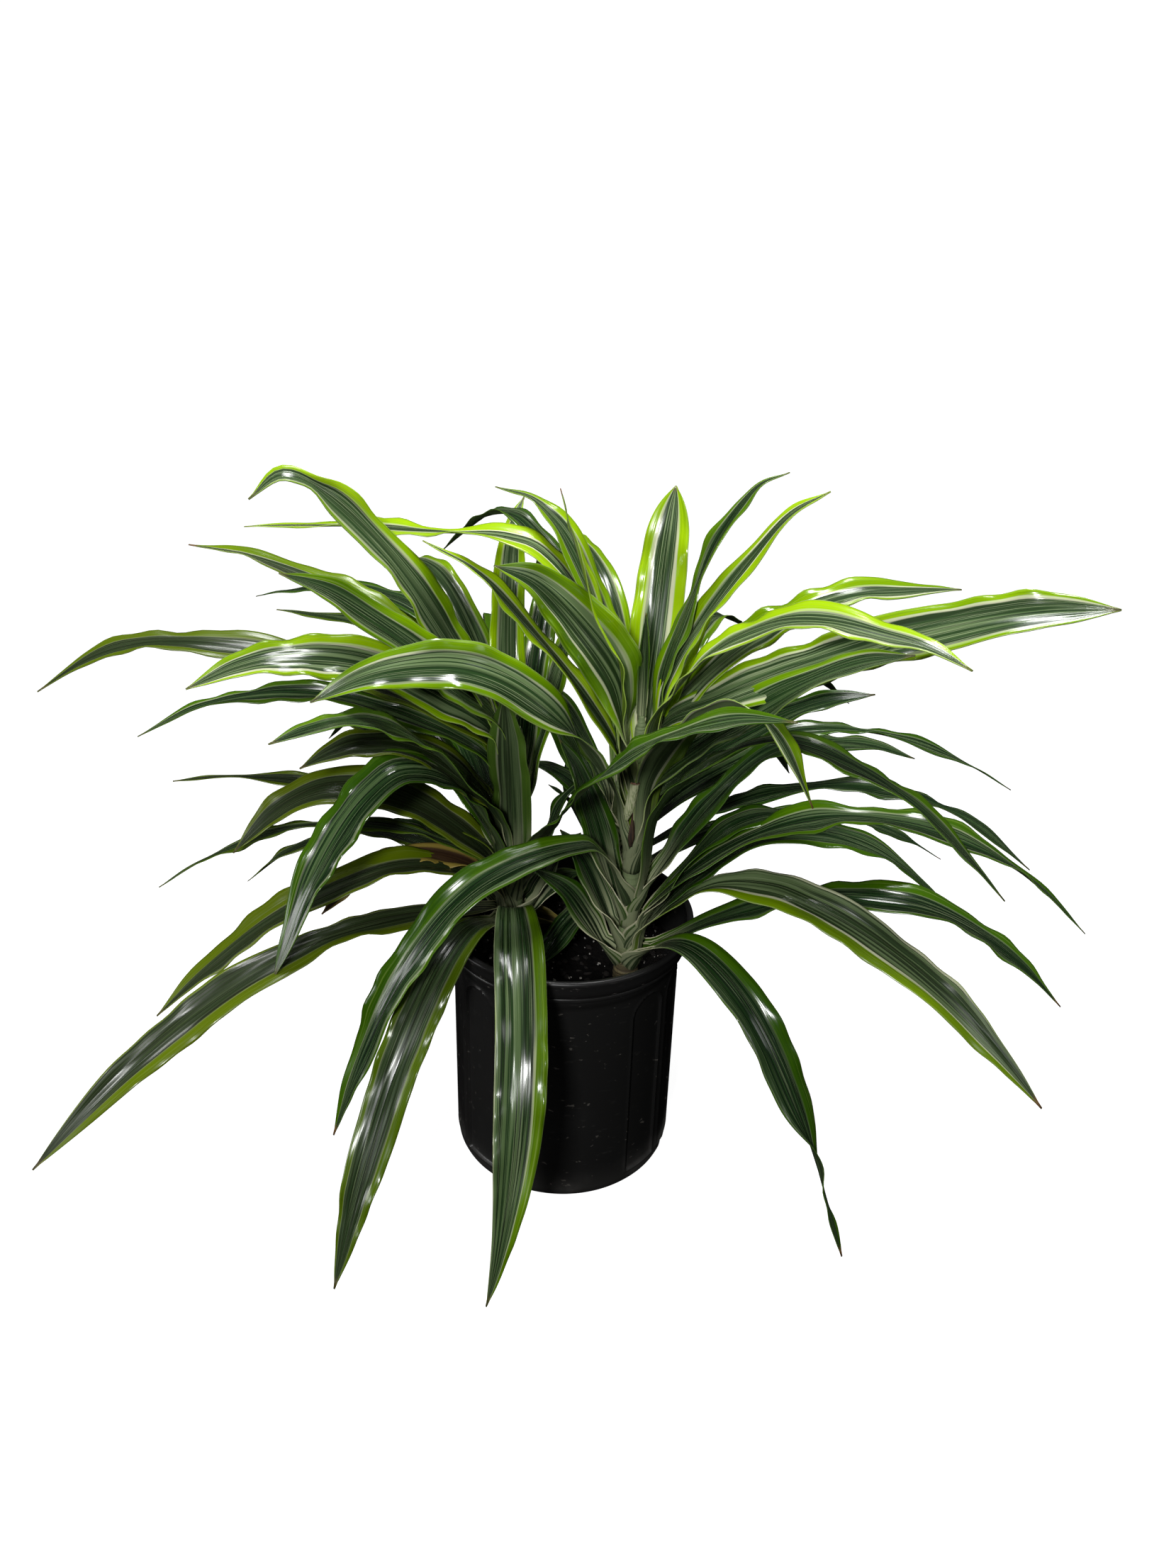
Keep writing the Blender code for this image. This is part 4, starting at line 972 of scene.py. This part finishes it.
    # The cream lines and the pale edge fade on leaves with less lime: partly painted shade on low leaves
    line = times(line, ramp(group, youth_and_light, 0, 1, 0.26, 0.98))
    colour = paint(group, line, colour, (0.74, 0.76, 0.52, 1))
    border = times(border, ramp(group, youth_and_light, 0, 1, 0.06, 0.40))
    colour = paint(group, border, colour, (0.45, 0.52, 0.25, 1))
    milk = times(sheath, ramp(group, broad, 0.46, 0.52, 0.02, 0.85))
    colour = paint(group, milk, colour, (0.50, 0.55, 0.32, 1))
    hem = times(ramp(group, off_middle, 0.455, 0.470), sheath)
    colour = paint(group, hem, colour, (0.78, 0.76, 0.50, 1))

    # Withered leaves and scorched tips
    withered = paint(group, ramp(group, inside, -0.02, 0.10), (0.36, 0.27, 0.045, 1),
                     (0.035, 0.014, 0.007, 1))
    withered = paint(group, ramp(group, fine, 0.4, 0.7, 0.0, 0.5), withered, (0.16, 0.10, 0.035, 1))
    colour = paint(group, given["Dry"], colour, withered)
    scorch = ramp(group, plus(given["Along"], swing(fine, 0.03)), 0.972, 0.990)
    colour = paint(group, times(scorch, given["Tip"]), colour, (0.21, 0.115, 0.045, 1))

    waxed = ramp(group, strip(24, 6, 91), 0.35, 0.70, 0.12, 0.27)
    waxed = plus(waxed, times(given["Dry"], 0.35))
    waxed = plus(waxed, times(given["Olive"], 0.12))
    ribs = plus(times(fine, 0.14), strip(15, 2, 301))
    result = group.nodes.new("NodeGroupOutput")
    for label, value in (("Colour", colour), ("Roughness", waxed), ("Height", ribs)):
        socket_from(group, result.inputs[label], value)
    return group


leaf_stripes = stripes_group()
LEAF_LAYERS = ("seed", "lime", "left_margin", "right_margin", "pale", "olive", "dry", "tip", "leaf_length")
leaf_faces = []
for name, dull in (("leaf, upper face", 0.0), ("leaf, underside", 0.50)):
    made, tree, shader = new_material(name)
    flat = node(tree, "SeparateXYZ", {0: node(tree, "UVMap", uv_map="leaf").outputs[0]})
    given = [flat.outputs[0], flat.outputs[1]]
    given += [node(tree, "Attribute", attribute_name=layer).outputs["Fac"] for layer in LEAF_LAYERS]
    stripes = tree.nodes.new("ShaderNodeGroup")
    stripes.node_tree = leaf_stripes
    for place, value in enumerate(given):
        tree.links.new(value, stripes.inputs[place])
    colour = stripes.outputs["Colour"]
    rough = stripes.outputs["Roughness"]
    if dull:
        colour = paint(tree, dull, colour, (0.040, 0.056, 0.024, 1))
        rough = maths(tree, "ADD", rough, 0.16)
    tree.links.new(colour, shader.inputs["Base Color"])
    tree.links.new(rough, shader.inputs["Roughness"])
    raised(tree, shader, stripes.outputs["Height"], 0.00042, 0.75)
    leaf_faces.append(made)

for name, leaves in LEAVES.items():
    draw = random.Random(name)
    detail = random.Random(name + " detail")
    shape = bmesh.new()
    shape.loops.layers.uv.new("leaf")
    layers = [shape.verts.layers.float.new(layer) for layer in LEAF_LAYERS]
    for place, leaf in enumerate(leaves):
        grow_leaf(shape, layers, name, leaf, LEAF_LOOKS[name].get(place, {}), draw, detail)
    piece = finished(name.replace("cane", "leaves"), shape, leaf_faces)
    thick = piece.modifiers.new("blade", "SOLIDIFY")
    thick.thickness = BLADE
    thick.offset = 0
    thick.material_offset = 1
    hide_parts(name)


# Two leaf bases left on the right stem: a pale one that is cut off with a brown rim, and under
# it a dried brown one. They are dead leaf.
BASE_WALL = 0.0011
BASE_CURL = 1.2
BASE_RAGGED = 0.0012

cut_base, tree, shader = new_material("cut leaf base")
place = node(tree, "TexCoord").outputs["Object"]
fibre = grain(tree, stretched(tree, place, (900, 900, 24)), 1.0, 2, 0.5)
colour = paint(tree, ramp(tree, fibre, 0.40, 0.60), (0.30, 0.36, 0.17, 1), (0.62, 0.64, 0.40, 1))
height_up = node(tree, "SeparateXYZ", {0: place}).outputs[2]
colour = paint(tree, ramp(tree, height_up, 0.4845, 0.4868), colour, (0.13, 0.055, 0.030, 1))
tree.links.new(colour, shader.inputs["Base Color"])
shader.inputs["Roughness"].default_value = 0.45
raised(tree, shader, fibre, 0.0006)
dried_base, tree, shader = new_material("dried leaf base")
place = node(tree, "TexCoord").outputs["Object"]
fibre = grain(tree, stretched(tree, place, (700, 700, 40)), 1.0, 3, 0.6)
tree.links.new(paint(tree, ramp(tree, fibre, 0.35, 0.65), (0.012, 0.006, 0.003, 1), (0.070, 0.036, 0.018, 1)),
               shader.inputs["Base Color"])
shader.inputs["Roughness"].default_value = 0.7
raised(tree, shader, fibre, 0.0010)
for name, material, foot, top, wide, narrow in (
    ("cut_leaf_base", cut_base, (0.0560, -0.0660, 0.4420), (0.0622, -0.0745, 0.4870), 0.0055, 0.0042),
    ("dried_leaf_base", dried_base, (0.0610, -0.0655, 0.4130), (0.0622, -0.0665, 0.4500), 0.0040, 0.0008),
):
    trough = bmesh.new()
    bmesh.ops.create_grid(trough, x_segments=12, y_segments=24, size=0.5)
    for vert in trough.verts:
        across, share = 2 * vert.co.x, vert.co.y + 0.5
        half = (wide + (narrow - wide) * share) * (0.25 + 0.75 * ease(share / 0.3))
        ragged = BASE_RAGGED * share * math.sin(7 * across + 1) * math.cos(11 * across)
        vert.co = Vector(foot).lerp(Vector(top), share) + Vector((
            half * math.sin(BASE_CURL * across), half * (0.4 - math.cos(BASE_CURL * across)), ragged))
    bmesh.ops.recalc_face_normals(trough, faces=trough.faces)
    piece = finished(name, trough, [material])
    thick = piece.modifiers.new("wall", "SOLIDIFY")
    thick.thickness = BASE_WALL
    thick.offset = 0
    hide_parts("cane_right")
